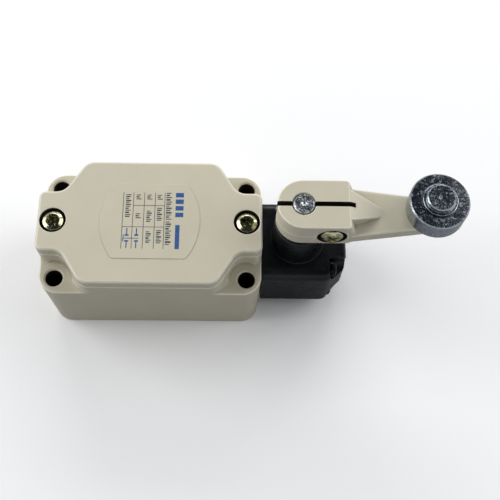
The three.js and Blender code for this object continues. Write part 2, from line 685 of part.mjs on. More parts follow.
function switchCaseLid() {
  const first = CASE_FRONT + GAP;
  const plate = box(first, CASE_LID_END, -CASE_HALF_WIDTH, CASE_HALF_WIDTH, CASE_BOTTOM, CASE_TOP);
  return cut(plate, rod("x", BUTTON_RADIUS + GAP, first - 1, CASE_LID_END + 1, [0, HEAD_Z], MEDIUM));
}

function switchButton() {
  return turned("x", [
    [0, BUTTON_TAIL],
    [BUTTON_TAIL_RADIUS, BUTTON_TAIL],
    [BUTTON_TAIL_RADIUS, BUTTON_SHOULDER],
    [BUTTON_RADIUS, BUTTON_SHOULDER],
    [BUTTON_RADIUS, 15],
    [3.4, 15],
    [3.4, 16.4],
    [BUTTON_RADIUS, 16.4],
    [BUTTON_RADIUS, BUTTON_TIP - 0.5],
    [BUTTON_RADIUS - 0.6, BUTTON_TIP],
    [0, BUTTON_TIP],
  ], [0, HEAD_Z], MEDIUM);
}

function contactBridge() {
  const bar = box(BRIDGE_X, BRIDGE_X + 1, -9, 9, HEAD_Z - 1.8, HEAD_Z + 1.8);
  return cut(bar, rod("x", BUTTON_TAIL_RADIUS + GAP, BRIDGE_X - 1, BRIDGE_X + 2, [0, HEAD_Z], SMALL));
}

// One terminal: a screw pad, a strip and a leg that hangs down to the fixed contact.
function terminal(side, padX, strip, contactX) {
  const top = TERMINAL_BOTTOM + TERMINAL_THICKNESS;
  const legEnd = contactX + 0.8;
  const body = join(
    box(padX - 3.3, padX + 3.3, ...span(side, Math.min(strip[0], 5.7), 11.4), TERMINAL_BOTTOM, top),
    box(padX - 3.3, legEnd, ...span(side, ...strip), TERMINAL_BOTTOM, top),
    box(contactX, legEnd, ...span(side, ...strip), HEAD_Z - 2.5, top),
  );
  return cut(body, rod("z", 1.9, TERMINAL_BOTTOM - 1, top + 1, [padX, side * TERMINAL_Y], SMALL));
}

function wireClamp(x, y, bottom) {
  const plate = box(x - 2.9, x + 2.9, y - 2.8, y + 2.8, bottom, bottom + 0.9);
  return cut(plate, rod("z", 1.9, bottom - 1, bottom + 2, [x, y], SMALL));
}

piece("switch_case", switchCase(), "phenolic");
piece("switch_case_lid", switchCaseLid(), "phenolic");
piece("switch_button", switchButton(), "nylon");
piece("contact_bridge", contactBridge(), "brass");
piece("contact_spring", coil(1.5, 0.25, BRIDGE_X + 1 + GAP, BUTTON_SHOULDER - GAP, 3, 8), "steel");
piece("button_spring", coil(1.5, 0.25, CHAMBER.back + GAP, BRIDGE_X - GAP, 4, 8), "steel");

const terminals = [
  ["open", OPEN_TERMINAL_X, OPEN_STRIP, OPEN_CONTACT_X],
  ["closed", CLOSED_TERMINAL_X, CLOSED_STRIP, CLOSED_CONTACT_X],
];
for (const [kind, x, strip, contactX] of terminals) {
  for (const [side, half] of [[-1, "front"], [1, "back"]]) {
    const y = side * TERMINAL_Y;
    const clampBottom = TERMINAL_BOTTOM + TERMINAL_THICKNESS + GAP;
    piece(`terminal_${kind}_${half}`, terminal(side, x, strip, contactX), "brass");
    piece(`wire_clamp_${kind}_${half}`, wireClamp(x, y, clampBottom), "zinc");
    piece(`terminal_screw_${kind}_${half}`, plainScrew(1.5, 7, 2.6, 1.8), "zinc", [x, y, clampBottom + 1.2]);
  }
}
CASE_SCREW_X.forEach((x, i) => {
  piece(`case_screw_${i + 1}`, plainScrew(1.2, 21, 2.3, 1.6), "zinc", [x, 0, CASE_TOP - 3 + GAP]);
});
const earthWasher = [EARTH.top + GAP, EARTH.top + GAP + 0.9];
piece("earth_washer", tube("z", 1.7, 2.6, ...earthWasher, [EARTH.x, EARTH.y], SMALL), "zinc");
piece("earth_screw", plainScrew(1.35, 7.5, 2.5, 1.8), "zinc", [EARTH.x, EARTH.y, EARTH.top + 1.5]);

export default limitSwitch;
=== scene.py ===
"""Rotary roller-lever limit switch: the visible pieces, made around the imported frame.

Lengths in this file are millimetres until a piece is finished, when its mesh is scaled to metres.
+X runs from the box to the head and the roller, +Z from the mounting face to the cover.
"""

import math

import bmesh
import bpy
import numpy as np
from bpy.props import FloatProperty, FloatVectorProperty, PointerProperty
from mathutils import Euler, Matrix, Vector


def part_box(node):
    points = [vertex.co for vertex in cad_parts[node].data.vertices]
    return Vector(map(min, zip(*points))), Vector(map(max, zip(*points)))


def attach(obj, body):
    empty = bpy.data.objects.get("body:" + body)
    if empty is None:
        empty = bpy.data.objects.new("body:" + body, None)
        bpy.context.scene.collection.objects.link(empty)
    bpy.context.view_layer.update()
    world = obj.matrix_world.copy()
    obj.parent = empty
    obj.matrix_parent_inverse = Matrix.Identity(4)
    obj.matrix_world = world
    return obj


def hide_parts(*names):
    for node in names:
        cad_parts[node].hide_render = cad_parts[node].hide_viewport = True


bl_info = {
    "name": "Roller Lever Limit Switch",
    "version": (1, 0, 0),
    "blender": (4, 5, 0),
    "location": "3D View > Sidebar > Limit Switch",
    "description": "Makes the visible pieces of a rotary roller-lever limit switch",
    "category": "Object",
}

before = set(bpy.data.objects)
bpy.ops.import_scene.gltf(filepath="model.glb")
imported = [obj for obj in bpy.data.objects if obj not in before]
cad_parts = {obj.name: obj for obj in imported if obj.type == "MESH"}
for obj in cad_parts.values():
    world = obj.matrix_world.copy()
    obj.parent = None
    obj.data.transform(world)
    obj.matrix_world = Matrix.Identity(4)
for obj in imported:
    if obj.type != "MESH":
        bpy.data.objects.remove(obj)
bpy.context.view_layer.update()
MM = 0.001


def box_mm(node):
    """A node's lowest and highest corners, in millimetres."""
    low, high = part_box(node)
    return np.array(low) / MM, np.array(high) / MM


# ---- Sizes, most of them read from the frame ----

(_, _, _), (HALF_LENGTH, HALF_WIDTH, RIM_TOP) = box_mm("housing")
(_, _, COVER_BOTTOM), (_, _, COVER_TOP) = box_mm("cover")
(HEAD_START, _, HEAD_BOTTOM), (HEAD_END, HEAD_HALF_WIDTH, BOSS_TOP) = box_mm("head")
(_, _, SHAFT_FOOT), (SHAFT_RIGHT, SHAFT_RADIUS, SHAFT_TOP) = box_mm("shaft")
(_, _, LEVER_BOTTOM), (LEVER_TIP, ARM_ROOT_HALF_WIDTH, LEVER_TOP) = box_mm("lever")
(_, _, ROLLER_BOTTOM), (ROLLER_RIGHT, ROLLER_RADIUS, ROLLER_TOP) = box_mm("roller")
(_, _, PIN_FOOT), (_, PIN_FLANGE_RADIUS, PIN_TOP) = box_mm("roller_pin")
(_, _, WASHER_BOTTOM), (_, WASHER_RADIUS, WASHER_TOP) = box_mm("roller_washer")
(_, _, PLATE_BOTTOM), (_, PLATE_RADIUS, PLATE_TOP) = box_mm("position_plate")
(_, _, _), (_, GUIDE_FLANGE_RADIUS, _) = box_mm("plunger_guide")
SHAFT_X = SHAFT_RIGHT - SHAFT_RADIUS
ROLLER_X = ROLLER_RIGHT - ROLLER_RADIUS

# Box
MOUNTING_HOLES = [(x, y) for x in (-29.35, 29.35) for y in (-15.1, 15.1)]
MOUNTING_HOLE_RADIUS = 2.65
EAR_TOP = 29.2
EAR_CORNER_RADIUS = 6.0
DRAFT = 0.6
WALL = 2.8
FLOOR_TOP = 3.0
SPOT_FACE_RADIUS = 5.5
CONDUIT_Z = 14.6
CONDUIT_RADIUS = 9.3
THREAD_PITCH = 1.814
THREAD_DEPTH = 0.95
CONDUIT_COLLAR_RADIUS = 11.9
CONDUIT_COLLAR_DEPTH = 8.0
CONDUIT_MOUTH_RADIUS = 12.0
COVER_POST_RADIUS = 3.2
COVER_POST_DEPTH = 9.6
TAPPED_RADIUS = 1.7
TAPPED_FOOT = 1.4
EARTH_X, EARTH_Y, EARTH_TOP = -18.0, -12.2, 9.0
EARTH_POST_RADIUS = 3.3
CASE_SCREW_X = (-10.0, -1.5)
CASE_POST_RADIUS = 3.2
CASE_POST_TOP = 6.0
CASE_BORE_RADIUS = 1.5
HEAD_BORE_RADIUS = 1.8
HEAD_BORE_START = 25
PLUNGER_OPENING_RADIUS = 6.6

# Rim and cover outline: [x, y, corner radius] for one quarter
NOTCHED_QUARTER = [(HALF_LENGTH, 9.7, 2.0), (26.6, 9.7, 4.5), (20.2, HALF_WIDTH, 4.5)]
COVER_SCREW_X = 29.3
COUNTERBORE_RADIUS = 4.0
COVER_BORE_RADIUS = 2.2
COVER_HOLLOW = (-23, 23, -16.5, 16.5, 5)
COVER_SCREW_SEAT = 36.3
LABEL_CORNERS = [
    (11.0, -12.2, 1.2), (18.8, 0.0, 20.4), (11.0, 12.2, 1.2),
    (-11.0, 12.2, 1.2), (-18.8, 0.0, 20.4), (-11.0, -12.2, 1.2),
]

# Head
HEAD_Z = 14.5
HEAD_HALF_HEIGHT = HEAD_Z - HEAD_BOTTOM
HEAD_NOSE = 5.6
HEAD_EDGE_RADIUS = 3.0
HEAD_LIP = 0.8
HEAD_GASKET_RADIUS = 10.1
HEAD_SCREW_BORE = 1.9
HEAD_POCKET_RADIUS = 8.6
HEAD_POCKET_END = 54.5
HEAD_SCREW_OFFSET = 8.8
HEAD_SCREW_SEAT = 55.5
HEAD_SCREW_RECESS = 3.5
BOSS_RADIUS = 7.8
BEARING_RADIUS = 5.2
JOURNAL_RADIUS = 2.2

# Lever
COLLAR_RADIUS = ARM_ROOT_HALF_WIDTH
COLLAR_END = 59.1
COLLAR_FOOT = 61.0
ARM_BOTTOM = 42.4
ARM_TOP = 46.8
ARM_ROOT_X = 60.0
ARM_TIP_RADIUS = LEVER_TIP - ROLLER_X
SLOT_HALF_WIDTH = 0.75
SLOT_END = 60.6
RAMP_END = 68.9
RAMP_HALF_WIDTH = 4.9
RAMP_TIP_HALF_WIDTH = 1.5
CLAMP_X = 54.0
CLAMP_Z = 46.2
CLAMP_RECESS_RADIUS = 4.45
CLAMP_SEAT_Y = -4.0
CLAMP_BORE_RADIUS = 2.3
COLLAR_SLOPE = 1.6
ROLLER_BORE_RADIUS = 2.8

# Screws: shank radius, length, head radius, head height, pitch
COVER_SCREW = (1.4, 8.5, 3.45, 2.3, 0.7)
HEAD_SCREW = (1.5, 29.5, 2.6, 2.2, 0.7)
CLAMP_SCREW = (1.9, 12.2, 3.6, 3.2, 0.7)

# How finely curves are drawn
ARC_STEPS = 8
STRAIGHT_STEPS = 12
FULL_TURN = 96
LEAST_RADIUS = 0.25  # what an inward move leaves of a round corner
WELD = 0.002  # points this close are joined after a cut
HOLD = 0.08  # a row this close to each round keeps the flat beside it flat
SHARP_ANGLE = math.radians(32)
BROAD_FACE = 15.0  # in square millimetres


# ---- Curves ----

def unit(vectors):
    """Each vector divided by its length."""
    return vectors / np.linalg.norm(vectors, axis=-1, keepdims=True)


def corner_arcs(corner, back, ahead, radius, steps):
    """True arcs that round corners: each starts and ends where a circle of the given radius
    touches the two sides, so its centre is radius / sin(half angle) along the bisector."""
    half = np.arccos(np.clip((back * ahead).sum(-1), -1, 1)) / 2
    centre = corner + unit(back + ahead) * (radius / np.sin(half))[:, None]
    reach = (radius / np.tan(half))[:, None]
    first = corner + back * reach - centre
    last = corner + ahead * reach - centre
    start = np.arctan2(first[:, 1], first[:, 0])
    turn = np.arctan2(last[:, 1], last[:, 0]) - start
    turn = (turn + np.pi) % (2 * np.pi) - np.pi
    angle = start[:, None] + turn[:, None] * np.linspace(0, 1, steps + 1)
    spoke = np.stack([np.cos(angle), np.sin(angle)], -1)
    return centre[:, None] + radius[:, None, None] * spoke


def outline(corners, inset=0.0, arc_steps=ARC_STEPS, straight_steps=STRAIGHT_STEPS):
    """A closed anticlockwise outline through (x, y, radius) corners, moved inwards by inset.
    Every corner gives one arc and one straight with rows that crowd towards its ends, so
    outlines of one shape at different insets match point by point."""
    corners = np.array(corners, float)
    point = corners[:, :2]
    back = unit(np.roll(point, 1, 0) - point)
    ahead = unit(np.roll(point, -1, 0) - point)
    bulge = np.sign(ahead[:, 0] * back[:, 1] - ahead[:, 1] * back[:, 0])
    half = np.arccos(np.clip((back * ahead).sum(-1), -1, 1)) / 2
    moved = point + unit(back + ahead) * (bulge * inset / np.sin(half))[:, None]
    least = np.minimum(corners[:, 2], LEAST_RADIUS)
    radius = np.maximum(corners[:, 2] - bulge * inset, least)
    arcs = corner_arcs(moved, back, ahead, radius, arc_steps)
    share = 0.5 - 0.5 * np.cos(np.pi * np.arange(1, straight_steps) / straight_steps)
    begin = arcs[:, -1][:, None]
    end = np.roll(arcs[:, 0], -1, 0)[:, None]
    straights = begin + (end - begin) * share[None, :, None]
    return np.concatenate([arcs, straights], 1).reshape(-1, 2)


def rounded_line(corners, closed=False, steps=6):
    """A line through (a, b, radius) corners, each rounded by an arc, with one extra row HOLD
    before and after each arc. A corner of radius 0 stays sharp."""
    corners = [(*c, 0.0)[:3] for c in corners]
    parts = []
    for i, (a, b, radius) in enumerate(corners):
        corner = np.array([a, b])
        at_end = not closed and i in (0, len(corners) - 1)
        if at_end or radius == 0:
            parts.append(corner[None])
            continue
        before = np.array(corners[i - 1][:2])
        after = np.array(corners[(i + 1) % len(corners)][:2])
        back, ahead = unit(before - corner), unit(after - corner)
        arc = corner_arcs(corner[None], back[None], ahead[None], np.array([radius]), steps)[0]
        lead, tail = arc[0] + back * HOLD, arc[-1] + ahead * HOLD
        parts += [lead[None], arc, tail[None]]
    return np.concatenate(parts)


def distance_to(points, loop):
    """How far each point is from a closed loop: the least distance to any of its sides, each
    measured to the side's nearest point, whose share along it is kept within 0 to 1."""
    side = np.roll(loop, -1, 0) - loop
    away = points[:, None] - loop
    share = np.clip((away * side).sum(-1) / (side**2).sum(-1), 0, 1)
    return np.linalg.norm(away - share[..., None] * side, axis=-1).min(1)


def mirrored_quarters(quarter):
    """The four mirror images of a quarter outline as one anticlockwise list of corners."""
    def flipped(sx, sy):
        return [(x * sx, y * sy, radius) for x, y, radius in quarter]

    return flipped(1, 1) + flipped(-1, 1)[::-1] + flipped(-1, -1) + flipped(1, -1)[::-1]


def rectangle(x0, x1, y0, y1, radius):
    """The corners of a rounded rectangle."""
    return [(x0, y0, radius), (x1, y0, radius), (x1, y1, radius), (x0, y1, radius)]


# ---- Surfaces ----

class Shell:
    """Points and faces of one closed surface, gathered ring by ring."""

    def __init__(self):
        self.points = []
        self.faces = []
        self.total = 0

    def rings(self, grid):
        """Adds a (rings, points, 3) grid and returns its point numbers."""
        numbers = self.total + np.arange(grid.shape[0] * grid.shape[1])
        self.points.append(grid.reshape(-1, 3))
        self.total += len(numbers)
        return numbers.reshape(grid.shape[:2])

    def band(self, rings):
        """Quads between each ring and the next; every ring closes on itself."""
        ahead = np.roll(rings, -1, axis=1)
        quads = np.stack([rings[:-1], ahead[:-1], ahead[1:], rings[1:]], -1)
        self.faces += quads.reshape(-1, 4).tolist()

    def cap(self, ring):
        """One face that fills a flat ring."""
        self.faces.append(ring.tolist())

    def tip(self, ring, point):
        """Triangles from a ring to one point."""
        top = self.total
        self.points.append(np.array(point, float)[None])
        self.total += 1
        ahead = np.roll(ring, -1)
        self.faces += np.stack([ring, ahead, np.full_like(ring, top)], -1).tolist()

    def closed(self, grid):
        """A grid's rings joined in turn, with one face over the first and one over the last."""
        rings = self.rings(grid)
        self.band(rings)
        self.cap(rings[0])
        self.cap(rings[-1])
        return self

    def pointed(self, grid, low, high):
        """A grid's rings joined in turn, and the end ones to points on the axis."""
        rings = self.rings(grid)
        self.band(rings)
        self.tip(rings[0], (0, 0, low))
        self.tip(rings[-1], (0, 0, high))
        return self

    def looped(self, grid):
        """A grid's rings joined in turn, and the last to the first."""
        rings = self.rings(grid)
        self.band(np.vstack([rings, rings[:1]]))
        return self

    def made(self):
        """The surface as an object in millimetres, its faces pointing out."""
        mesh = bpy.data.meshes.new("tool")
        mesh.from_pydata(np.concatenate(self.points).tolist(), [], self.faces)
        work = bmesh.new()
        work.from_mesh(mesh)
        loose = [vert for vert in work.verts if not vert.link_faces]
        bmesh.ops.delete(work, geom=loose, context="VERTS")
        bmesh.ops.recalc_face_normals(work, faces=work.faces)
        work.to_mesh(mesh)
        work.free()
        return linked(mesh)

    def at(self, *place):
        """The surface as an object, turned and moved."""
        return placed(self.made(), *place)


def linked(mesh):
    """A mesh's object, in the scene."""
    piece = bpy.data.objects.new(mesh.name, mesh)
    bpy.context.scene.collection.objects.link(piece)
    return piece


def lifted(loop, heights):
    """Loops of (x, y) points with their heights: a (rings, points, 3) grid."""
    loop, heights = np.broadcast_arrays(loop, np.asarray(heights)[..., None])
    return np.concatenate([loop, heights[..., :1]], -1)


def swept(corners, profile, **steps):
    """A grid for a body with one outline: ring k is the outline moved inwards by the
    profile's k-th inset, at its k-th height."""
    return np.stack([lifted(outline(corners, inset, **steps), z) for inset, z in profile])


def prism(corners, profile, **steps):
    """A closed body with one outline and flat ends."""
    return Shell().closed(swept(corners, rounded_line(profile), **steps))


def block(x0, x1, y0, y1, z0, z1, edge=0.05):
    """A box with slightly rounded upright edges."""
    return prism(rectangle(x0, x1, y0, y1, edge), [(0, z0), (0, z1)], arc_steps=1, straight_steps=1)


def revolved(line, facets=FULL_TURN, swell=None):
    """Rings about Z: point (t, s) is at radius r(s) + swell(t, s), turned by angle t, at height
    z(s)."""
    angle = np.arange(facets) * 2 * np.pi / facets
    radius = line[:, :1] + (0 if swell is None else swell(angle[None], line[:, 1:]))
    flat = np.stack([radius * np.cos(angle), radius * np.sin(angle)], -1)
    return lifted(flat, np.broadcast_to(line[:, 1:], flat.shape[:2]))


def turned(profile, facets=FULL_TURN):
    """A body of revolution whose (radius, height, rounding) profile starts and ends on the
    axis."""
    line = rounded_line(profile)
    return Shell().pointed(revolved(line[1:-1], facets), line[0, 1], line[-1, 1])


def turned_ring(profile, facets=FULL_TURN):
    """A body of revolution with a hole: its profile closes on itself away from the axis."""
    return Shell().looped(revolved(rounded_line(profile, closed=True), facets))


def rod(radius, low, high, facets=FULL_TURN):
    """A plain cylinder about Z."""
    return turned([(0, low), (radius, low), (radius, high), (0, high)], facets)


def placed(piece, x=0.0, y=0.0, z=0.0, axis="z"):
    """Turns a piece made about +Z so that it points along the named axis, then moves it."""
    turns = {"z": (0, 0, 0), "x": (0, math.pi / 2, 0), "-y": (math.pi / 2, 0, 0)}
    piece.data.transform(Euler(turns[axis]).to_matrix().to_4x4())
    piece.data.transform(Matrix.Translation((x, y, z)))
    return piece


def healed(mesh):
    """Welds the points that the cuts left almost together and closes the slits between them."""
    form = bmesh.new()
    form.from_mesh(mesh)
    bmesh.ops.remove_doubles(form, verts=form.verts, dist=WELD)
    bmesh.ops.holes_fill(form, edges=[edge for edge in form.edges if edge.is_boundary])
    form.to_mesh(mesh)
    form.free()


def combined(piece, added=(), removed=()):
    """Joins tools to a piece and cuts others out of it, then deletes the tools."""
    for tools, operation in ((added, "UNION"), (removed, "DIFFERENCE")):
        for tool in tools:
            change = piece.modifiers.new(operation, "BOOLEAN")
            change.object = tool
            change.operation = operation
            change.solver = "EXACT"
    graph = bpy.context.evaluated_depsgraph_get()
    mesh = bpy.data.meshes.new_from_object(piece.evaluated_get(graph))
    piece.modifiers.clear()
    healed(mesh)
    piece.data = mesh
    for tool in [*added, *removed]:
        bpy.data.objects.remove(tool)
    return piece


def read(items, name, width=1, kind=float):
    """One property of all the items: an array with a row of the given width for each."""
    values = np.zeros(len(items) * width, kind)
    items.foreach_get(name, values)
    return values.reshape(-1, width) if width > 1 else values


def mark_edges(mesh):
    """Stores how sharply the surface bends at each face corner, in 1/mm, convex above zero: the
    mean over a point's edges of (change of normal . edge) / edge length squared. It is zero all
    over a broad face, so that it fades beside an edge only."""
    point = read(mesh.vertices, "co", 3)
    normal = read(mesh.vertices, "normal", 3)
    pair = read(mesh.edges, "vertices", 2, int)
    along = point[pair[:, 1]] - point[pair[:, 0]]
    change = normal[pair[:, 1]] - normal[pair[:, 0]]
    bend = (change * along).sum(1) / np.maximum((along**2).sum(1), 0.01)
    total, number = np.zeros(len(point)), np.zeros(len(point))
    for side in (0, 1):
        np.add.at(total, pair[:, side], bend)
        np.add.at(number, pair[:, side], 1)
    corner = read(mesh.loops, "vertex_index", 1, int)
    narrow = np.repeat(read(mesh.polygons, "area") < BROAD_FACE,
                       read(mesh.polygons, "loop_total", 1, int))
    value = (total / np.maximum(number, 1))[corner] * narrow
    bent = mesh.attributes.new("edge_bend", "FLOAT", "CORNER")
    bent.data.foreach_set("value", value)


def near_axes(centre, axes, radius, low, high):
    """Which face centres lie within a radius of one of some upright axes, between two
    heights."""
    away = np.linalg.norm(centre[:, None, :2] - np.array(axes), axis=2).min(1)
    return (away < radius) & (centre[:, 2] > low) & (centre[:, 2] < high)


def finished(piece, name, finish, body, node=None, shaded=None):
    """Scales a piece to metres, shades it, gives it its finish, ties it to its body and hides the
    CAD node that it replaces. Shaded picks the faces, by their centres, that paint and light hardly
    reach; they get a dark finish that paints their shade."""
    mesh = piece.data
    piece.name = name
    mesh.name = name
    mark_edges(mesh)
    mesh.transform(Matrix.Scale(MM, 4))
    mesh.polygons.foreach_set("use_smooth", np.ones(len(mesh.polygons), bool))
    mesh.set_sharp_from_angle(angle=SHARP_ANGLE)
    mesh.materials.clear()
    mesh.materials.append(finish_named(finish))
    # The shaded faces get the dark recess finish: painted shade
    if shaded is not None:
        mesh.materials.append(finish_named("recess"))
        picked = shaded(read(mesh.polygons, "center", 3) / MM)
        mesh.polygons.foreach_set("material_index", picked.astype(int))
    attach(piece, body)
    if node:
        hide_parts(node)


# ---- Materials ----

def linear(hex_colour):
    """An sRGB hex value as linear red, green, blue and a full alpha."""
    channels = [int(hex_colour[i : i + 2], 16) / 255 for i in (1, 3, 5)]
    return [c / 12.92 if c <= 0.04045 else ((c + 0.055) / 1.055) ** 2.4 for c in channels] + [1.0]


def add_node(tree, kind, inputs=None, **settings):
    """Adds a node, sets its settings, and fills its inputs with values or with links."""
    made = tree.nodes.new(kind)
    for name, value in settings.items():
        setattr(made, name, value)
    for name, value in (inputs or {}).items():
        if isinstance(value, bpy.types.NodeSocket):
            tree.links.new(value, made.inputs[name])
        else:
            made.inputs[name].default_value = value
    return made


def ranged(tree, value, from_min, from_max, to_min, to_max):
    """A value moved from one range to another, and kept inside it."""
    inputs = {"Value": value, "From Min": from_min, "From Max": from_max}
    inputs |= {"To Min": to_min, "To Max": to_max}
    return add_node(tree, "ShaderNodeMapRange", inputs).outputs["Result"]


def blended(tree, share, first, second):
    """Two colours mixed by a share."""
    made = add_node(tree, "ShaderNodeMix", data_type="RGBA")
    for index, value in ((0, share), (6, first), (7, second)):
        if isinstance(value, bpy.types.NodeSocket):
            tree.links.new(value, made.inputs[index])
        else:
            made.inputs[index].default_value = value
    return made.outputs[2]


class Surface:
    """A node material: colours laid over each other, then a gloss and a relief."""

    def __init__(self, name, colour):
        self.material = bpy.data.materials.new(name)
        self.material.use_nodes = True
        self.tree = self.material.node_tree
        self.tree.nodes.clear()
        self.shader = add_node(self.tree, "ShaderNodeBsdfPrincipled")
        add_node(self.tree, "ShaderNodeOutputMaterial", {"Surface": self.shader.outputs["BSDF"]})
        self.where = add_node(self.tree, "ShaderNodeTexCoord").outputs["Object"]
        self.colour = colour

    def noise(self, grain_mm, detail, roughness=0.5):
        """Noise whose grains are about grain_mm across."""
        inputs = {"Vector": self.where, "Scale": 1 / (grain_mm * MM)}
        inputs |= {"Detail": detail, "Roughness": roughness}
        return add_node(self.tree, "ShaderNodeTexNoise", inputs).outputs["Fac"]

    def patches(self, grain, *ends):
        """Noise of a grain (size, detail, roughness), moved from one range to another."""
        return ranged(self.tree, self.noise(*grain), *ends)

    def bends(self, *ends):
        """How sharply the surface bends, in 1/mm, moved from one range to another."""
        bend = add_node(self.tree, "ShaderNodeAttribute", attribute_name="edge_bend")
        return ranged(self.tree, bend.outputs["Fac"], *ends)

    def lay(self, share, colour):
        """Lays a share of a colour over the colours so far."""
        self.colour = blended(self.tree, share, self.colour, colour)

    def finish(self, roughness, grain=None, depth_mm=0.0, settings=()):
        """Gives the shader its colour, its roughness, its relief (noise of a grain, as high as
        the depth) and its other settings."""
        inputs = self.shader.inputs
        self.tree.links.new(self.colour, inputs["Base Color"])
        if grain:
            self.tree.links.new(roughness, inputs["Roughness"])
            relief = {"Height": self.noise(*grain), "Distance": depth_mm * MM, "Strength": 1.0}
            bump = add_node(self.tree, "ShaderNodeBump", relief)
            self.tree.links.new(bump.outputs["Normal"], inputs["Normal"])
        else:
            inputs["Roughness"].default_value = roughness
        for name, value in settings:
            inputs[name].default_value = value
        return self.material


def painted_die_casting(looks):
    """Stoved enamel on die-cast metal: a soft sheen over a faint orange peel, paler on the edges,
    where the paint is thinner and a highlight is painted, with painted shade and a little dirt in
    the inside corners."""
    made = Surface("painted_die_casting", [*looks.paint_colour, 1.0])
    darker = [*(channel * 0.955 for channel in looks.paint_colour), 1.0]
    made.lay(made.patches((14, 3), 0.3, 0.7, 0.0, 1.0), darker)
    # Convex edges: paler paint where it wears thin, and a painted highlight
    made.lay(made.bends(0.12, 1.1, 0.0, 0.72), linear("#F1EDDD"))
    # Inside corners: painted shade, with a little dirt
    made.lay(made.bends(-0.9, -0.1, 0.34, 0.0), linear("#6F6B5C"))
    made.lay(made.patches((0.7, 1), 0.74, 0.8, 0.0, 0.35), linear("#8B8775"))
    shine = made.patches((5, 3), 0.3, 0.7, 0.36, 0.48)
    return made.finish(shine, (0.55, 2), 0.018, [("Coat Weight", 0.12), ("Coat Roughness", 0.25)])


def black_moulding(looks):
    """Smooth black coating on the head: near-mirror in places, dusty in others, with grey edges
    that are partly rubbed and partly a painted highlight."""
    made = Surface("black_head_finish", [*looks.head_colour, 1.0])
    # Convex edges: grey where rubbed, and a painted highlight
    made.lay(made.bends(0.25, 2.2, 0.0, 0.3), linear("#5C6265"))
    made.lay(made.patches((0.35, 1), 0.7, 0.8, 0.0, 0.4), linear("#4A4D4E"))
    haze = made.patches((3.5, 4, 0.6), 0.3, 0.7, 0.24, 0.42)
    return made.finish(haze, (0.8, 2), 0.012, [("Specular IOR Level", 0.28)])


def plated(name, colours, roughness, grain_mm=0.3, depth_mm=0.025):
    """Plated or polished metal: a colour that drifts between its tints, smudged gloss, fine
    handling marks, and a grain of the given size and depth."""
    made = Surface(name, linear(colours[0]))
    made.lay(made.patches((1.1, 4, 0.65), 0.38, 0.62, 0.0, 1.0), linear(colours[1]))
    made.lay(made.patches((0.8, 6, 0.75), 0.55, 0.69, 0.0, 0.85), linear(colours[2]))
    # Inside corners and cross recesses: painted shade
    made.lay(made.bends(-1.5, -0.2, 0.75, 0.0), linear("#1E1D17"))
    smudge = made.patches((0.9, 6, 0.7), 0.51, 0.7, *roughness)
    return made.finish(smudge, (grain_mm, 3, 0.7), depth_mm, [("Metallic", 1.0)])


def moulded(name, colour, second, roughness):
    """Moulded plastic or rubber: an even colour with a faint second tint and a fine grain."""
    made = Surface(name, linear(colour))
    made.lay(made.patches((4, 3), 0.35, 0.65, 0.0, 1.0), linear(second))
    shine = made.patches((1.5, 2), 0.3, 0.7, roughness - 0.06, roughness + 0.06)
    return made.finish(shine, (0.5, 2), 0.02)


def printing_ink(name, colour):
    """Pad-printed ink: matt, with tiny gaps where it missed the paint's peel."""
    made = Surface(name, [*colour, 1.0])
    made.lay(made.patches((0.25, 2), 0.55, 0.75, 0.0, 0.35), linear("#A9AAA0"))
    return made.finish(0.5)


METALS = {
    "zinc": ("yellow_zinc", ("#DDDAB8", "#A8A57A", "#E9E8DE"), (0.1, 0.4)),
    "steel": ("polished_steel", ("#AEB4BB", "#8A929B", "#E1E4E7"), (0.08, 0.6)),
    "spring": ("spring_steel", ("#9DA1A4", "#7F8487", "#B6B9BC"), (0.25, 0.4)),
    "turned": ("turned_steel", ("#D0D4D8", "#6F767E", "#F2F3F4"), (0.25, 0.5), 1.3, 0.25),
    "dark_steel": ("blackened_steel", ("#202225", "#17191B", "#303336"), (0.3, 0.5)),
    "brass": ("contact_brass", ("#D9B968", "#B8924A", "#E6D08F"), (0.22, 0.38)),
    "bronze": ("sintered_bronze", ("#A5814F", "#7E6138", "#B99563"), (0.45, 0.6)),
}
MOULDINGS = {
    # recess: a dark finish that paints the shade in holes, slots and recesses
    "recess": ("recess_painted_shade", "#1E1911", "#2B2419", 0.7),
    "rubber": ("nitrile_rubber", "#1C1C1D", "#262627", 0.75),
    "phenolic": ("brown_phenolic", "#3B2A22", "#4B362B", 0.45),
    "nylon": ("natural_nylon", "#E6E2D4", "#D8D2BE", 0.5),
}
COATS = {
    "paint": painted_die_casting,
    "black": black_moulding,
    "blue_ink": lambda looks: printing_ink("blue_print", looks.print_colour),
    "dark_ink": lambda looks: printing_ink("dark_print", linear("#343D49")[:3]),
}
FINISHES = {}


def finish_named(name):
    """The material of the given name, made the first time that it is asked for."""
    if name in FINISHES:
        return FINISHES[name]
    if name in METALS:
        made = plated(*METALS[name])
    elif name in MOULDINGS:
        made = moulded(*MOULDINGS[name])
    else:
        made = COATS[name](bpy.context.scene.limit_switch)
    FINISHES[name] = made
    return made


# ---- Box ----

NOTCH_POINTS = 2 * (ARC_STEPS + STRAIGHT_STEPS) + ARC_STEPS + 1


def notch_starts():
    """The number of the rim outline's first point in each quarter's notch."""
    return [quarter * 3 * (ARC_STEPS + STRAIGHT_STEPS) for quarter in range(4)]


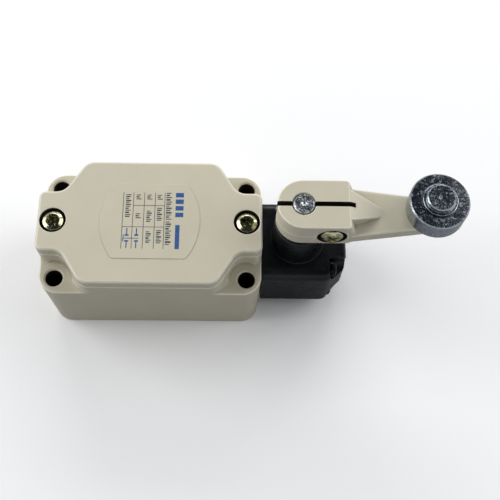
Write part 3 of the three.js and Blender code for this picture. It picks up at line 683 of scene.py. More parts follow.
def ear_outline(rim):
    """The box's outer outline, matched point by point to the rim's. Each quarter's notch is
    replaced by a path of the same start and end that runs round the ear's corner, at the same
    share of its length."""
    outer = rim.copy()
    for first, (sx, sy) in zip(notch_starts(), [(1, 1), (-1, 1), (-1, -1), (1, -1)], strict=True):
        notch = rim[first : first + NOTCH_POINTS]
        corner = (sx * HALF_LENGTH, sy * HALF_WIDTH, EAR_CORNER_RADIUS)
        path = rounded_line([notch[0], corner, notch[-1]], steps=24)
        length = np.append(0, np.cumsum(np.linalg.norm(np.diff(path, axis=0), axis=1)))
        travel = np.append(0, np.cumsum(np.linalg.norm(np.diff(notch, axis=0), axis=1)))
        share = travel / travel[-1] * length[-1]
        outer[first : first + NOTCH_POINTS, 0] = np.interp(share, length, path[:, 0])
        outer[first : first + NOTCH_POINTS, 1] = np.interp(share, length, path[:, 1])
    return outer


def housing_shell(edge=0.45, fillet=1.3):
    """The box's skin, one ring per height. Below the ears a ring is the ear outline, drawn in
    by the draft. Over the ears' edge and in the fillet at the rim's foot it moves from the ear
    outline to the rim outline along quarter circles, whose width shrinks with the nearest
    distance between the two so that the ears run out into the walls."""
    corners = mirrored_quarters(NOTCHED_QUARTER)
    rim = outline(corners)
    ear = ear_outline(rim)
    middle = np.array([HALF_LENGTH, HALF_WIDTH]) - EAR_CORNER_RADIUS
    ear_in = unit(np.clip(ear, -middle, middle) - ear)
    rim_out = outline(corners, -1.0) - rim
    edge_width = np.minimum(edge, 0.4 * distance_to(ear, rim))[:, None]
    fillet_width = np.minimum(fillet, 0.4 * distance_to(rim, ear))[:, None]
    quarter = np.linspace(0, np.pi / 2, 9)
    rows = []

    def row(loop, height):
        rows.append(lifted(loop, height))

    foot = 0.5
    row(ear + ear_in * (DRAFT + foot + 0.4), 0.0)
    for angle in quarter:
        row(ear + ear_in * (DRAFT + foot * (1 - np.sin(angle))), foot * (1 - np.cos(angle)))
    wall_top = EAR_TOP - edge
    for height in (foot + HOLD, *np.linspace(4, wall_top - 2, 5), wall_top - HOLD):
        row(ear + ear_in * DRAFT * (1 - height / EAR_TOP), height)
    for angle in quarter:
        draft = DRAFT * (1 - wall_top / EAR_TOP) * np.cos(angle)
        inset = draft + edge_width * (1 - np.cos(angle))
        row(ear + ear_in * inset, wall_top + edge * np.sin(angle))
    for angle in quarter:
        spread = fillet_width * (1 - np.sin(angle))
        row(rim + rim_out * spread, EAR_TOP + fillet * (1 - np.cos(angle)))
    inner = swept(corners, rounded_line([
        (0, EAR_TOP + fillet + 0.2), (0, RIM_TOP, 0.35), (WALL, RIM_TOP, 0.3),
        (WALL + 0.2, FLOOR_TOP, 1.0), (WALL + 2, FLOOR_TOP),
    ]))
    shell = Shell()
    rings = shell.rings(np.concatenate([np.stack(rows), inner]))
    ears = len(rows) - len(quarter)
    below, above = rings[ears - 1], rings[ears]
    in_notch = np.zeros(len(rim), bool)
    for first in notch_starts():
        inside = np.arange(first + 1, first + NOTCH_POINTS - 1)
        in_notch[inside] = True
        edge_points = below[first : first + NOTCH_POINTS]
        shell.cap(np.append(edge_points, above[inside][::-1]))
    above[~in_notch] = below[~in_notch]
    shell.band(rings[:ears])
    shell.band(rings[ears:])
    shell.cap(rings[0])
    shell.cap(rings[-1])
    return shell


def threaded_plug(radius, depth, pitch, low, high, facets=72):
    """A rod with a screw thread: its radius swells by depth times a wave of height / pitch
    minus angle / full turn, so that the crest climbs one pitch per turn."""
    rows = np.linspace(low, high, int((high - low) / pitch * 8) + 1)
    line = np.stack([np.full_like(rows, radius), rows], -1)

    def swell(angle, height):
        phase = (height / pitch - angle / (2 * np.pi)) % 1
        return depth * np.clip(1.25 - 2.5 * np.abs(2 * phase - 1) / 1.25, 0, 1)

    return Shell().pointed(revolved(line, facets, swell), low, high)


def make_housing():
    """The box: skin, inner bosses, mounting holes with spot faces, and the threaded entry."""
    body = housing_shell().made()
    collar = rod(CONDUIT_COLLAR_RADIUS, 0, CONDUIT_COLLAR_DEPTH - 1.2)
    added = [collar.at(-HALF_LENGTH + 1.2, 0, CONDUIT_Z, "x")]
    for side in (-1, 1):
        post = rod(COVER_POST_RADIUS, RIM_TOP - COVER_POST_DEPTH, RIM_TOP - 0.5, 48)
        added.append(post.at(side * COVER_SCREW_X))
    for x in CASE_SCREW_X:
        added.append(rod(CASE_POST_RADIUS, FLOOR_TOP - 1, CASE_POST_TOP, 48).at(x))
    added.append(rod(EARTH_POST_RADIUS, FLOOR_TOP - 1, EARTH_TOP, 48).at(EARTH_X, EARTH_Y))
    removed = []
    for x, y in MOUNTING_HOLES:
        bore = [
            (0, -1), (MOUNTING_HOLE_RADIUS + 1.4, -1), (MOUNTING_HOLE_RADIUS, 0.4),
            (MOUNTING_HOLE_RADIUS, EAR_TOP - 0.45), (MOUNTING_HOLE_RADIUS + 0.45, EAR_TOP),
            (MOUNTING_HOLE_RADIUS + 0.45, EAR_TOP + 0.03), (SPOT_FACE_RADIUS, EAR_TOP + 0.03),
            (SPOT_FACE_RADIUS, EAR_TOP + 1.6), (0, EAR_TOP + 1.6),
        ]
        removed.append(turned(bore, 64).at(x, y))
    entry = threaded_plug(CONDUIT_RADIUS, THREAD_DEPTH, THREAD_PITCH, -0.7, 9)
    removed.append(entry.at(-HALF_LENGTH, 0, CONDUIT_Z, "x"))
    mouth = turned([(0, -1), (CONDUIT_MOUTH_RADIUS, -1), (CONDUIT_RADIUS, 1.5), (0, 1.5)])
    removed.append(mouth.at(-HALF_LENGTH, 0, CONDUIT_Z, "x"))
    opening = turned([
        (0, -6), (PLUNGER_OPENING_RADIUS, -6), (PLUNGER_OPENING_RADIUS, -1.8),
        (GUIDE_FLANGE_RADIUS + 0.3, -1.8), (GUIDE_FLANGE_RADIUS + 0.3, 1), (0, 1),
    ], 64)
    removed.append(opening.at(HALF_LENGTH, 0, HEAD_Z, "x"))
    for side in (-1, 1):
        tapped = rod(TAPPED_RADIUS, RIM_TOP - COVER_POST_DEPTH + 1, RIM_TOP + 1, 32)
        removed.append(tapped.at(side * COVER_SCREW_X))
        for height in (-1, 1):
            y, z = side * HEAD_SCREW_OFFSET, HEAD_Z + height * HEAD_SCREW_OFFSET
            bore = rod(HEAD_BORE_RADIUS, HEAD_BORE_START, HALF_LENGTH + 1, 32)
            removed.append(bore.at(0, y, z, "x"))
    for x in CASE_SCREW_X:
        removed.append(rod(CASE_BORE_RADIUS, TAPPED_FOOT, CASE_POST_TOP + 2, 32).at(x))
    removed.append(rod(TAPPED_RADIUS, TAPPED_FOOT, EARTH_TOP + 1, 32).at(EARTH_X, EARTH_Y))
    combined(body, added, removed)
    # The mounting holes' walls get painted shade
    finished(body, "box_casting", "paint", "root", "housing", lambda centre: near_axes(
        centre, MOUNTING_HOLES, MOUNTING_HOLE_RADIUS + 0.05, 0.6, EAR_TOP - 0.3))


# ---- Cover ----

def make_cover():
    """The cover: a plate with a rounded top edge, two counterbores, a raised label panel, a
    gasket groove, and a hollow underside."""
    edge = bpy.context.scene.limit_switch.cover_edge
    corners = mirrored_quarters(NOTCHED_QUARTER)
    skin = rounded_line([
        (2.2, COVER_BOTTOM), (2.2, COVER_BOTTOM + 1.3), (0.6, COVER_BOTTOM + 1.3),
        (0.6, COVER_BOTTOM), (0, COVER_BOTTOM, 0.45), (0, COVER_TOP, edge),
        (edge + 0.35, COVER_TOP),
    ], steps=9)
    body = Shell().closed(swept(corners, skin)).made()
    panel = prism(LABEL_CORNERS, [
        (-0.06, COVER_TOP - 0.5), (-0.06, COVER_TOP + 0.2, 0.08), (0.4, COVER_TOP + 0.2),
    ], arc_steps=24, straight_steps=8)
    hollow = prism(rectangle(*COVER_HOLLOW), [
        (0, COVER_BOTTOM - 1), (0, COVER_TOP - 2, 1.0), (1.5, COVER_TOP - 2),
    ])
    cuts = [hollow.made()]
    for side in (-1, 1):
        bore = turned([
            (0, COVER_BOTTOM - 1), (COVER_BORE_RADIUS, COVER_BOTTOM - 1),
            (COVER_BORE_RADIUS, COVER_SCREW_SEAT),
            (COUNTERBORE_RADIUS, COVER_SCREW_SEAT, 0.2), (COUNTERBORE_RADIUS, COVER_TOP - 0.2),
            (COUNTERBORE_RADIUS + 0.2, COVER_TOP), (COUNTERBORE_RADIUS + 0.2, COVER_TOP + 1),
            (0, COVER_TOP + 1),
        ], 72)
        cuts.append(bore.at(side * COVER_SCREW_X))
    combined(body, [panel.made()], cuts)
    # The counterbores' walls get painted shade
    finished(body, "cover_casting", "paint", "root", "cover", lambda centre: near_axes(
        centre, [(-COVER_SCREW_X, 0), (COVER_SCREW_X, 0)], COUNTERBORE_RADIUS + 0.03,
        COVER_BOTTOM + 0.1, COVER_TOP - 0.35))


def make_gasket():
    """The cover's gasket: the rim's outline carried round a small rounded section."""
    corners = mirrored_quarters(NOTCHED_QUARTER)
    low, high = box_mm("cover_gasket")
    section = rounded_line([
        (0.65, low[2], 0.15), (0.65, high[2], 0.3), (1.9, high[2], 0.3), (1.9, low[2], 0.15),
    ], closed=True, steps=3)
    seal = Shell().looped(swept(corners, section))
    finished(seal.made(), "cover_seal", "rubber", "root", "cover_gasket")


def bars_mesh(name, bars, height, finish):
    """Flat printed bars (x0, x1, y0, y1) as one thin piece on the label panel."""
    bars = np.array(bars, float)
    x = bars[:, [0, 1, 1, 0]]
    y = bars[:, [2, 2, 3, 3]]
    low = np.stack([x, y, np.full_like(x, height)], -1)
    high = low + np.array([0, 0, 0.03])
    points = np.concatenate([low, high], 1).reshape(-1, 3)
    sides = [[0, 3, 2, 1], [4, 5, 6, 7], [0, 1, 5, 4], [1, 2, 6, 5], [2, 3, 7, 6], [3, 0, 4, 7]]
    faces = np.arange(len(bars))[:, None, None] * 8 + np.array(sides)
    mesh = bpy.data.meshes.new(name)
    mesh.from_pydata(points.tolist(), [], faces.reshape(-1, 4).tolist())
    finished(linked(mesh), name, finish, "root")


def word_marks(x, y, count, size=1.55):
    """Upright strokes that stand for a printed word without spelling one: rows of bars whose
    width and length follow short repeating patterns. Words run towards -Y."""
    widths = (0.26, 0.44, 0.3, 0.5, 0.26, 0.38)
    lengths = (1.0, 0.72, 1.0, 0.86, 0.6)
    marks = []
    for i in range(count):
        wide = widths[i % len(widths)] * size / 1.55
        tall = lengths[(i + count) % len(lengths)] * size
        marks.append((x - size / 2, x - size / 2 + tall, y - wide, y))
        y -= wide + 0.3 * size / 1.55
    return marks


def make_label():
    """A generic rating table: ruled lines, stroke marks in place of words, a plain bar, and a
    switch-contact sign."""
    height = COVER_TOP + 0.195
    columns = [-8.35, -5.3, -2.0, 1.3, 4.2]
    top, bottom, line = 9.3, -9.2, 0.16
    dark = [(x, x + line, bottom, top) for x in columns]
    dark += [(columns[1], columns[4], 4.9, 4.9 + line), (columns[0], columns[4], -2.2, -2.2 + line)]
    words = [
        (-6.75, 8.7, 12), (-3.6, 8.6, 3), (-3.6, 2.3, 3), (-0.3, 8.6, 3), (-0.3, 3.2, 6),
        (-0.3, -3.6, 6), (2.8, 8.6, 3), (2.8, 4.2, 7), (2.8, -3.2, 7),
    ]
    for x, y, count in words:
        dark += word_marks(x, y, count)
    dark += word_marks(5.6, 9.3, 13, 1.7)
    dark += word_marks(5.6, -0.3, 11, 1.7)
    bars_mesh("label_table", dark, height, "dark_ink")
    blue = [(7.7, 9.0, -9.2, -1.4)]
    blue += [(7.6, 10.0, y - 1.5, y) for y in (9.3, 7.1, 4.9, 2.7)]
    for x in (-6.9, -4.0):
        blue += [(x, x + 0.3, -9.0, -7.0), (x, x + 0.3, -4.6, -2.6)]
        blue += [(x - 0.45, x + 0.75, y, y + 0.5) for y in (-7.0, -5.1)]
    blue += [(-7.9, -7.65, -6.9, -4.7), (-7.65, -3.2, -5.95, -5.75)]
    bars_mesh("label_sign", blue, height, "blue_ink")


# ---- Screws ----

def cross_corners(reach, blade, radius=0.06):
    """The corners of a cross whose four arms have the given reach and half width."""
    arm = [(reach, -blade), (reach, blade), (blade, blade)]
    corners = []
    for k in range(4):
        c, s = round(math.cos(k * math.pi / 2)), round(math.sin(k * math.pi / 2))
        corners += [(c * x - s * y, s * x + c * y, radius) for x, y in arm]
    return corners


def cross_screw(sizes, turn, facets=48):
    """A pan-head screw along +Z, its head's seat at z = 0, turned by some degrees. The shank's
    radius swells along a helix, and the head's dome is a rounded profile. A tapering cross is
    then cut out of it."""
    shank, length, head, height, pitch = sizes
    turns = np.linspace(-length + 0.6, -0.8, int((length - 1.4) / pitch * 6))
    depth = 0.32 * pitch
    root = shank - depth
    thread = np.stack([np.full_like(turns, root), turns], -1)
    start = np.array([[root * 0.6, -length], [root, -length + 0.5]])
    cap = rounded_line([
        (root, -0.5), (root, 0, 0.1), (head - 0.12, 0, 0.1), (head, height * 0.35, 0.2),
        (head * 0.93, height * 0.72, height * 0.2), (head * 0.62, height * 0.97, 0.6),
        (head * 0.1, height),
    ], steps=5)

    def swell(angle, z):
        fade = np.clip((z + length - 0.5) / 0.8, 0, 1) * np.clip((-0.7 - z) / 0.3, 0, 1)
        phase = (z / pitch - angle / (2 * np.pi)) % 1
        return depth * fade * (1 - np.abs(2 * phase - 1))

    line = np.concatenate([start, thread, cap])
    body = Shell().pointed(revolved(line, facets, swell), -length, height).made()
    cross = prism(cross_corners(head * 0.62, head * 0.15), [
        (head * 0.11, height * 0.2), (0.0, height * 0.98), (0.0, height + 1),
    ], arc_steps=2, straight_steps=2)
    well = turned([(0, height * 0.15), (head * 0.08, height * 0.15), (head * 0.26, height * 1.02),
                   (head * 0.26, height + 1), (0, height + 1)], 32)
    ticks = []
    for k in range(4):
        tick = block(head * 0.3, head * 0.62, -0.07, 0.07, height * 0.8, height + 1)
        made = tick.made()
        made.data.transform(Matrix.Rotation(math.radians(45 + 90 * k), 4, "Z"))
        ticks.append(made)
    combined(body, removed=[cross.made(), well.made(), *ticks])
    body.data.transform(Matrix.Rotation(math.radians(turn), 4, "Z"))
    return body


def make_cover_screws():
    """The two cover screws, each turned to a different angle, as hands leave them."""
    for name, side, turn in (("cover_screw_left", -1, 20), ("cover_screw_right", 1, 62)):
        screw = cross_screw(COVER_SCREW, turn)
        placed(screw, side * COVER_SCREW_X, 0, COVER_SCREW_SEAT + 0.3)
        finished(screw, name + "_fine", "zinc", "root", name)


def make_head_screws():
    """The four screws that hold the head to the box."""
    for i, (sy, sz) in enumerate([(-1, -1), (1, -1), (-1, 1), (1, 1)]):
        screw = cross_screw(HEAD_SCREW, 17 * (i + 1), 32)
        y, z = sy * HEAD_SCREW_OFFSET, HEAD_Z + sz * HEAD_SCREW_OFFSET
        placed(screw, HEAD_SCREW_SEAT + 0.3, y, z, "x")
        name = f"head_screw_{i + 1}"
        finished(screw, name + "_fine", "dark_steel", "root", name)


def make_clamp_screw():
    """The screw and washer that pinch the lever's collar on the shaft."""
    screw = cross_screw(CLAMP_SCREW, 35)
    placed(screw, CLAMP_X, CLAMP_SEAT_Y - 1.4, CLAMP_Z, "-y")
    finished(screw, "clamp_screw_fine", "zinc", "lever", "clamp_screw")
    washer = turned_ring([(2.3, 0.3, 0.1), (3.9, 0.3, 0.15), (3.9, 1.1, 0.15), (2.3, 1.1, 0.1)])
    made = washer.at(CLAMP_X, CLAMP_SEAT_Y, CLAMP_Z, "-y")
    finished(made, "clamp_washer_fine", "zinc", "lever", "clamp_washer")


# ---- Head ----

def head_block():
    """The head's block: a rounded rectangle carried along X. Its width follows a slanted nose
    with rounded corners, and width and height both fall by a quarter circle at the end face."""
    nose = rounded_line([
        (HEAD_START + 0.4, HEAD_HALF_WIDTH), (HEAD_END - HEAD_NOSE, HEAD_HALF_WIDTH, 3.0),
        (HEAD_END, HEAD_HALF_WIDTH - HEAD_NOSE),
    ], steps=8)
    lip = np.linspace(HEAD_END - 3, HEAD_END - 0.9, 3)
    lip = np.append(lip, HEAD_END - HEAD_LIP * (1 - np.sin(np.linspace(0, np.pi / 2, 7))))
    x = np.unique(np.round(np.concatenate([[HEAD_START, HEAD_START + 0.25], nose[:-1, 0], lip]), 4))
    width = np.interp(x, nose[:, 0], nose[:, 1])
    share = np.clip((x - HEAD_END + HEAD_LIP) / HEAD_LIP, 0, 1)
    drop = HEAD_LIP * (1 - np.sqrt(1 - share**2))
    drop[:2] = (0.3, 0.05)
    sections = []
    for xi, w, h in zip(x, width - drop, HEAD_HALF_HEIGHT - drop, strict=True):
        loop = outline(rectangle(-HEAD_HALF_WIDTH, HEAD_HALF_WIDTH, -HEAD_HALF_HEIGHT,
                                 HEAD_HALF_HEIGHT, HEAD_EDGE_RADIUS), 0, 12, 12)
        y = loop[:, 0] * w / HEAD_HALF_WIDTH
        z = HEAD_Z + loop[:, 1] * h / HEAD_HALF_HEIGHT
        sections.append(np.stack([np.full_like(y, xi), y, z], -1))
    return Shell().closed(np.stack(sections))


def make_head():
    """The head: block, round boss, cam chamber, bearing bores, and four open screw pockets."""
    body = head_block().made()
    top = HEAD_Z + HEAD_HALF_HEIGHT
    boss = turned([
        (0, top - 3), (BOSS_RADIUS + 0.75, top - 3), (BOSS_RADIUS + 0.75, top + 0.3, 0.28),
        (BOSS_RADIUS + 0.1, top + 0.3, 0.1), (BOSS_RADIUS, BOSS_TOP, 0.5), (0, BOSS_TOP),
    ])
    added = [boss.at(SHAFT_X)]
    chamber = turned([
        (0, -1), (HEAD_GASKET_RADIUS, -1), (HEAD_GASKET_RADIUS, 1.2), (HEAD_POCKET_RADIUS, 1.2),
        (HEAD_POCKET_RADIUS, HEAD_POCKET_END - HEAD_START, 1.5), (0, HEAD_POCKET_END - HEAD_START),
    ])
    bearing = turned([
        (0, HEAD_Z + 5), (BEARING_RADIUS, HEAD_Z + 5), (BEARING_RADIUS, BOSS_TOP - 0.5),
        (BEARING_RADIUS + 1.5, BOSS_TOP + 1), (0, BOSS_TOP + 1),
    ])
    journal = rod(JOURNAL_RADIUS + 0.3, SHAFT_FOOT - 0.3, 10, 48)
    removed = [
        chamber.at(HEAD_START, 0, HEAD_Z, "x"),
        bearing.at(SHAFT_X),
        journal.at(SHAFT_X),
    ]
    for sy in (-1, 1):
        for sz in (-1, 1):
            pocket = turned([
                (0, HEAD_START - 1), (HEAD_SCREW_BORE, HEAD_START - 1),
                (HEAD_SCREW_BORE, HEAD_SCREW_SEAT),
                (HEAD_SCREW_RECESS, HEAD_SCREW_SEAT, 0.4), (HEAD_SCREW_RECESS, HEAD_END + 1),
                (0, HEAD_END + 1),
            ], 64)
            y, z = sy * HEAD_SCREW_OFFSET, HEAD_Z + sz * HEAD_SCREW_OFFSET
            removed.append(pocket.at(0, y, z, "x"))
    combined(body, added, removed)
    finished(body, "head_casting", "black", "root", "head")
    plate = turned_ring([
        (SHAFT_RADIUS + 0.3, PLATE_BOTTOM, 0.1), (PLATE_RADIUS, PLATE_BOTTOM, 0.2),
        (PLATE_RADIUS, PLATE_TOP, 0.25), (SHAFT_RADIUS + 0.3, PLATE_TOP, 0.1),
    ])
    finished(plate.at(SHAFT_X), "position_plate_fine", "black", "root", "position_plate")


# ---- Shaft, lever and roller ----

def make_shaft():
    """The shaft, with a chamfered end, a faint turning centre, a clip groove and a cross bore."""
    clip = box_mm("retaining_clip")
    low, high = clip[0][2] - 0.3, clip[1][2] + 0.3
    body = turned([
        (0, SHAFT_FOOT), (JOURNAL_RADIUS, SHAFT_FOOT, 0.3), (JOURNAL_RADIUS, 8, 0.15),
        (SHAFT_RADIUS, 8, 0.3), (SHAFT_RADIUS, low), (SHAFT_RADIUS - 0.75, low),
        (SHAFT_RADIUS - 0.75, high), (SHAFT_RADIUS, high), (SHAFT_RADIUS, SHAFT_TOP - 0.4, 0.1),
        (SHAFT_RADIUS - 0.4, SHAFT_TOP, 0.1), (0.8, SHAFT_TOP, 0.1), (0.45, SHAFT_TOP - 0.15),
        (0, SHAFT_TOP - 0.45),
    ])
    pin = box_mm("cam_pin")
    cross = rod(1.3, -5, 5, 32).at(0, 0, 0, "-y")
    placed(cross, 0, 0, (pin[0][2] + pin[1][2]) / 2)
    shaft = placed(combined(body.made(), removed=[cross]), SHAFT_X)
    finished(shaft, "shaft_fine", "turned", "lever", "shaft")


def collar_shell():
    """The clamp block about the shaft. Its outline has a half-round end, its top edge is
    rounded, a low parting line runs round its side, and its square end slopes outwards: each
    point there moves along X in step with its depth below the top."""
    corners = [
        (SHAFT_X - COLLAR_RADIUS, -COLLAR_RADIUS, COLLAR_RADIUS - 0.01),
        (COLLAR_END, -COLLAR_RADIUS, 1.3), (COLLAR_END, COLLAR_RADIUS, 1.3),
        (SHAFT_X - COLLAR_RADIUS, COLLAR_RADIUS, COLLAR_RADIUS - 0.01),
    ]
    profile = rounded_line([
        (0.6, LEVER_BOTTOM), (0.1, LEVER_BOTTOM, 0.3), (0.02, 45.95), (-0.05, 46.05),
        (-0.05, 46.15), (0.02, 46.25), (0.1, LEVER_TOP, 0.4), (1.0, LEVER_TOP),
    ], steps=7)
    grid = swept(corners, profile, arc_steps=20, straight_steps=8)
    at_end = np.clip((grid[..., 0] - COLLAR_END + COLLAR_SLOPE) / COLLAR_SLOPE, 0, 1)
    fall = np.clip((LEVER_TOP - grid[..., 2]) / (LEVER_TOP - ARM_TOP), 0, 1)
    grid[..., 0] += (COLLAR_FOOT - COLLAR_END) * at_end * fall
    return Shell().closed(grid)


def upright_section(x, half_width, low, high, edge, round_low):
    """A closed section across X: a rectangle with rounded upper and lower edges."""
    corners = [
        (-half_width, low, round_low), (half_width, low, round_low),
        (half_width, high, edge), (-half_width, high, edge),
    ]
    loop = outline(corners, 0, 6, 6)
    return np.stack([np.full(len(loop), x), loop[:, 0], loop[:, 1]], -1)


def arm_shell():
    """The arm: its half width falls evenly from the root to the tip's circle, whose own chord
    closes it."""
    slope = math.asin((ARM_ROOT_HALF_WIDTH - ARM_TIP_RADIUS) / (ROLLER_X - ARM_ROOT_X))
    straight_end = ROLLER_X + ARM_TIP_RADIUS * math.sin(slope)
    straight_half = ARM_TIP_RADIUS * math.cos(slope)
    x = np.concatenate([
        [ARM_ROOT_X - 4], np.linspace(ARM_ROOT_X, straight_end, 12),
        ROLLER_X + ARM_TIP_RADIUS * np.sin(np.linspace(slope, np.pi / 2 - 0.12, 14)[1:]),
    ])
    chord = np.sqrt(np.maximum(ARM_TIP_RADIUS**2 - (x - ROLLER_X) ** 2, 0.01))
    taper = np.interp(x, [ARM_ROOT_X, straight_end], [ARM_ROOT_HALF_WIDTH, straight_half])
    half = np.where(x > straight_end, chord, taper)
    half[0] = ARM_ROOT_HALF_WIDTH - 1
    edge = np.minimum(0.55, half * 0.4)
    return Shell().closed(np.stack([
        upright_section(xi, w, ARM_BOTTOM, ARM_TOP, e, e)
        for xi, w, e in zip(x, half, edge, strict=True)
    ]))


def ramp_shell():
    """The ramp from the collar's top down to the arm: it narrows and falls evenly, and runs on
    a little until it is under the arm's top."""
    x = np.concatenate([[COLLAR_END - 2, COLLAR_END - 0.3],
                        np.linspace(COLLAR_END, RAMP_END + 1.2, 10)])
    share = np.maximum((x - COLLAR_END) / (RAMP_END - COLLAR_END), 0)
    half = RAMP_HALF_WIDTH + (RAMP_TIP_HALF_WIDTH - RAMP_HALF_WIDTH) * share
    high = LEVER_TOP - 0.05 + (ARM_TOP - LEVER_TOP + 0.05) * share
    return Shell().closed(np.stack([
        upright_section(xi, w, ARM_TOP - 1.5, h, 0.35, 0.1)
        for xi, w, h in zip(x, half, high, strict=True)
    ]))


def in_slot_or_recess(centre):
    """Which face centres lie in the clamp slot or on the wall of the clamp screw's recess."""
    x, y, z = centre.T
    in_slot = (abs(y) < SLOT_HALF_WIDTH + 0.01) & (x < SLOT_END + 0.01)
    in_slot &= (z > LEVER_BOTTOM + 0.05) & (z < LEVER_TOP - 0.05)
    away = np.hypot(x - CLAMP_X, z - CLAMP_Z)
    in_recess = (away < CLAMP_RECESS_RADIUS + 0.03) & (y > -COLLAR_RADIUS + 0.2) & (y < -3.9)
    return in_slot | in_recess


def make_lever():
    """The lever: collar, ramp and arm joined, then bored, slotted and recessed."""
    body = collar_shell().made()
    bore = turned([
        (0, LEVER_BOTTOM - 1), (SHAFT_RADIUS + 0.3, LEVER_BOTTOM - 1),
        (SHAFT_RADIUS + 0.3, LEVER_TOP - 0.25), (SHAFT_RADIUS + 1.3, LEVER_TOP + 0.75),
        (0, LEVER_TOP + 0.75),
    ])
    slot = block(SHAFT_X - 10, SLOT_END, -SLOT_HALF_WIDTH, SLOT_HALF_WIDTH,
                 LEVER_BOTTOM - 1, LEVER_TOP + 1, 0.2)
    recess = turned([
        (0, -9), (CLAMP_BORE_RADIUS, -9), (CLAMP_BORE_RADIUS, -CLAMP_SEAT_Y),
        (CLAMP_RECESS_RADIUS, -CLAMP_SEAT_Y, 0.3), (CLAMP_RECESS_RADIUS, 12), (0, 12),
    ], 72)
    eye = rod(ROLLER_BORE_RADIUS, ARM_BOTTOM - 1, ARM_TOP + 1, 48)
    combined(body, [arm_shell().made(), ramp_shell().made()], [
        bore.at(SHAFT_X),
        slot.made(),
        recess.at(CLAMP_X, 0, CLAMP_Z, "-y"),
        eye.at(ROLLER_X),
    ])
    # The clamp slot and the clamp screw recess's wall get painted shade
    finished(body, "lever_casting", "paint", "lever", "lever", in_slot_or_recess)


def make_roller():
    """The roller, its rivet-headed pin and the washer under it."""
    bore = ROLLER_BORE_RADIUS
    wheel = turned_ring([
        (bore, ROLLER_BOTTOM, 0.2), (ROLLER_RADIUS - 0.5, ROLLER_BOTTOM, 0.12),
        (ROLLER_RADIUS, ROLLER_BOTTOM + 0.5, 0.12), (ROLLER_RADIUS, ROLLER_TOP - 0.4, 0.1),
        (ROLLER_RADIUS - 0.35, ROLLER_TOP, 0.1), (PIN_FLANGE_RADIUS + 0.35, ROLLER_TOP, 0.1),
        (PIN_FLANGE_RADIUS + 0.2, ROLLER_TOP - 0.12, 0.05), (bore, ROLLER_TOP - 0.12, 0.2),
    ], 128)
    finished(wheel.at(ROLLER_X), "roller_wheel", "steel", "roller", "roller")
    flange = ROLLER_TOP + 0.3
    pin = turned([
        (0, PIN_FOOT), (3.0, PIN_FOOT, 0.6), (3.4, PIN_FOOT + 0.9, 0.2), (2.5, PIN_FOOT + 0.9),
        (2.5, flange), (PIN_FLANGE_RADIUS, flange, 0.1), (PIN_FLANGE_RADIUS, flange + 0.5, 0.25),
        (4.2, flange + 0.5, 0.15), (4.2, PIN_TOP - 0.35, 0.12), (3.85, PIN_TOP, 0.12),
        (0.9, PIN_TOP - 0.04, 0.3), (0, PIN_TOP - 0.12),
    ])
    finished(pin.at(ROLLER_X), "roller_pin_fine", "steel", "lever", "roller_pin")
    washer = turned_ring([
        (bore, WASHER_BOTTOM, 0.1), (WASHER_RADIUS, WASHER_BOTTOM, 0.2),
        (WASHER_RADIUS, WASHER_TOP, 0.2), (bore, WASHER_TOP, 0.1),
    ])
    finished(washer.at(ROLLER_X), "roller_washer_fine", "steel", "lever", "roller_washer")


# ---- Inner pieces ----

INNER_FINISHES = {
    "head_gasket": "rubber", "shaft_bushing": "bronze", "shaft_seal": "rubber", "cam": "steel",
    "cam_pin": "steel", "retaining_clip": "spring", "plunger": "steel", "plunger_guide": "nylon",
    "plunger_spring": "spring", "switch_case": "phenolic", "switch_case_lid": "phenolic",
    "switch_button": "nylon", "contact_bridge": "brass", "contact_spring": "spring",
    "button_spring": "spring", "earth_washer": "zinc", "earth_screw": "zinc",
}


def finish_inner():
    """Gives the CAD nodes that stay their materials."""
    for name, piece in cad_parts.items():
        if piece.hide_render:
            continue
        finish = INNER_FINISHES.get(name)
        if finish is None:
            finish = "brass" if name.startswith("terminal_") and "screw" not in name else "zinc"
        piece.data.materials.clear()
        piece.data.materials.append(finish_named(finish))


# ---- Stage ----

CAMERA_PLACE = (0.02403, -0.10494, 0.27597)
CAMERA_TILT = (21.99, -1.517, 0.053)
CAMERA_LENS = 61.67
LIGHTS = [
    ("left_light", (-0.75, 0.15, 0.62), (0.8, 0.8), 1.0),
    ("right_light", (0.8, 0.25, 0.62), (0.8, 0.8), 0.75),
    ("back_light", (0.05, 0.95, 0.6), (1.0, 0.3), 0.75),
]


def soft_light(name, place, target, size, power):
    """A square area light at place that faces target."""
    lamp = bpy.data.lights.new(name, "AREA")
    lamp.shape = "RECTANGLE"
    lamp.size, lamp.size_y = size
    lamp.energy = power
    light = bpy.data.objects.new(name, lamp)
    light.location = place
    facing = Vector(target) - Vector(place)
    light.rotation_euler = facing.to_track_quat("-Z", "Y").to_euler()
    bpy.context.scene.collection.objects.link(light)


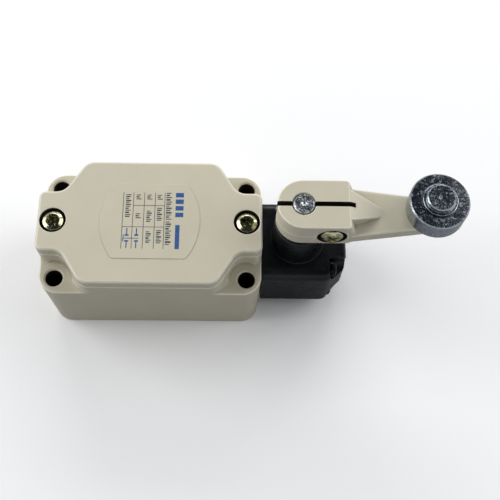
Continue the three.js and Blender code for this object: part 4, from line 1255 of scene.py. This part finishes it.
def make_stage():
    """The camera, a pale floor that throws back less light than it shows, a soft sky that is
    darker overhead, and three soft lights."""
    scene = bpy.context.scene
    looks = scene.limit_switch
    camera = bpy.data.objects.new("camera", bpy.data.cameras.new("camera"))
    camera.data.lens = CAMERA_LENS
    camera.data.clip_start = 0.01
    camera.location = CAMERA_PLACE
    camera.rotation_euler = [math.radians(a) for a in CAMERA_TILT]
    scene.collection.objects.link(camera)
    scene.camera = camera
    scene.view_settings.view_transform = "Standard"
    corners = [(-1.5, -1.5), (1.5, -1.5), (1.5, 1.5), (-1.5, 1.5)]
    mesh = bpy.data.meshes.new("floor")
    mesh.from_pydata([(x, y, -0.0001) for x, y in corners], [], [(0, 1, 2, 3)])
    floor = linked(mesh)
    paper = Surface("pale_paper", linear("#A0A1A3"))
    seen = add_node(paper.tree, "ShaderNodeLightPath").outputs["Is Camera Ray"]
    paper.lay(seen, linear("#FFFFFF"))
    mesh.materials.append(paper.finish(0.9, settings=[("Specular IOR Level", 0.1)]))
    world = bpy.data.worlds.new("studio")
    scene.world = world
    world.use_nodes = True
    tree = world.node_tree
    tree.nodes.clear()
    where = add_node(tree, "ShaderNodeTexCoord").outputs["Generated"]
    height = add_node(tree, "ShaderNodeSeparateXYZ", {"Vector": where}).outputs["Z"]
    overhead = ranged(tree, height, 0.35, 0.75, 0.0, 1.0)
    sky = blended(tree, overhead, linear("#F4F6FA"), linear("#343940"))
    back = add_node(tree, "ShaderNodeBackground", {"Color": sky, "Strength": looks.sky_strength})
    add_node(tree, "ShaderNodeOutputWorld", {"Surface": back.outputs["Background"]})
    for name, place, size, share in LIGHTS:
        soft_light(name, place, (0.02, 0.0, 0.03), size, looks.light_power * share)


# ---- Add-on ----

class LimitSwitchLooks(bpy.types.PropertyGroup):
    """The sizes and colours that a user would change."""

    paint_colour: FloatVectorProperty(
        name="Paint", description="Colour of the painted castings", subtype="COLOR", size=3,
        min=0, max=1, default=linear("#C9C3AD")[:3])
    head_colour: FloatVectorProperty(
        name="Head", description="Colour of the black head", subtype="COLOR", size=3,
        min=0, max=1, default=linear("#0D1115")[:3])
    print_colour: FloatVectorProperty(
        name="Print", description="Colour of the printed sign and bar", subtype="COLOR", size=3,
        min=0, max=1, default=linear("#1B4F8C")[:3])
    cover_edge: FloatProperty(
        name="Cover edge", description="Radius of the cover's top edge, in millimetres",
        min=0.4, max=2.0, default=0.8)
    sky_strength: FloatProperty(
        name="Sky", description="Strength of the soft sky", min=0, max=5, default=0.8)
    light_power: FloatProperty(
        name="Lights", description="Power of the left soft light", subtype="POWER",
        min=0, max=100, default=6.2)


class Maker:
    """Runs the functions that a maker lists."""

    def execute(self, context):
        for make in self.functions:
            make()
        return {"FINISHED"}


class MakeBox(Maker, bpy.types.Operator):
    """Makes the box casting"""

    bl_idname = "limit_switch.box"
    bl_label = "Box"
    functions = (make_housing,)


class MakeCover(Maker, bpy.types.Operator):
    """Makes the cover, its gasket and its printed table"""

    bl_idname = "limit_switch.cover"
    bl_label = "Cover"
    functions = (make_cover, make_gasket, make_label)


class MakeHead(Maker, bpy.types.Operator):
    """Makes the head and the position plate"""

    bl_idname = "limit_switch.head"
    bl_label = "Head"
    functions = (make_head,)


class MakeScrews(Maker, bpy.types.Operator):
    """Makes the cover, head and clamp screws"""

    bl_idname = "limit_switch.screws"
    bl_label = "Screws"
    functions = (make_cover_screws, make_head_screws, make_clamp_screw)


class MakeLever(Maker, bpy.types.Operator):
    """Makes the shaft, the lever and the roller"""

    bl_idname = "limit_switch.lever"
    bl_label = "Lever"
    functions = (make_shaft, make_lever, make_roller)


class FinishInner(Maker, bpy.types.Operator):
    """Gives the inner pieces their finishes"""

    bl_idname = "limit_switch.inner"
    bl_label = "Inner pieces"
    functions = (finish_inner,)


class MakeStage(Maker, bpy.types.Operator):
    """Makes the camera, the floor and the lights"""

    bl_idname = "limit_switch.stage"
    bl_label = "Stage"
    functions = (make_stage,)


MAKERS = (MakeStage, MakeBox, MakeCover, MakeHead, MakeScrews, MakeLever, FinishInner)


class LimitSwitchPanel(bpy.types.Panel):
    """Lists the settings and the makers"""

    bl_idname = "VIEW3D_PT_limit_switch"
    bl_label = "Limit Switch"
    bl_space_type = "VIEW_3D"
    bl_region_type = "UI"
    bl_category = "Limit Switch"

    def draw(self, context):
        column = self.layout.column()
        for name in LimitSwitchLooks.__annotations__:
            column.prop(context.scene.limit_switch, name)
        for maker in MAKERS:
            column.operator(maker.bl_idname)


CLASSES = (LimitSwitchLooks, *MAKERS, LimitSwitchPanel)


def register():
    for each in CLASSES:
        bpy.utils.register_class(each)
    bpy.types.Scene.limit_switch = PointerProperty(type=LimitSwitchLooks)


def unregister():
    del bpy.types.Scene.limit_switch
    for each in reversed(CLASSES):
        bpy.utils.unregister_class(each)


def main():
    register()
    for maker in MAKERS:
        group, name = maker.bl_idname.split(".")
        getattr(getattr(bpy.ops, group), name)()


if __name__ == "__main__":
    main()
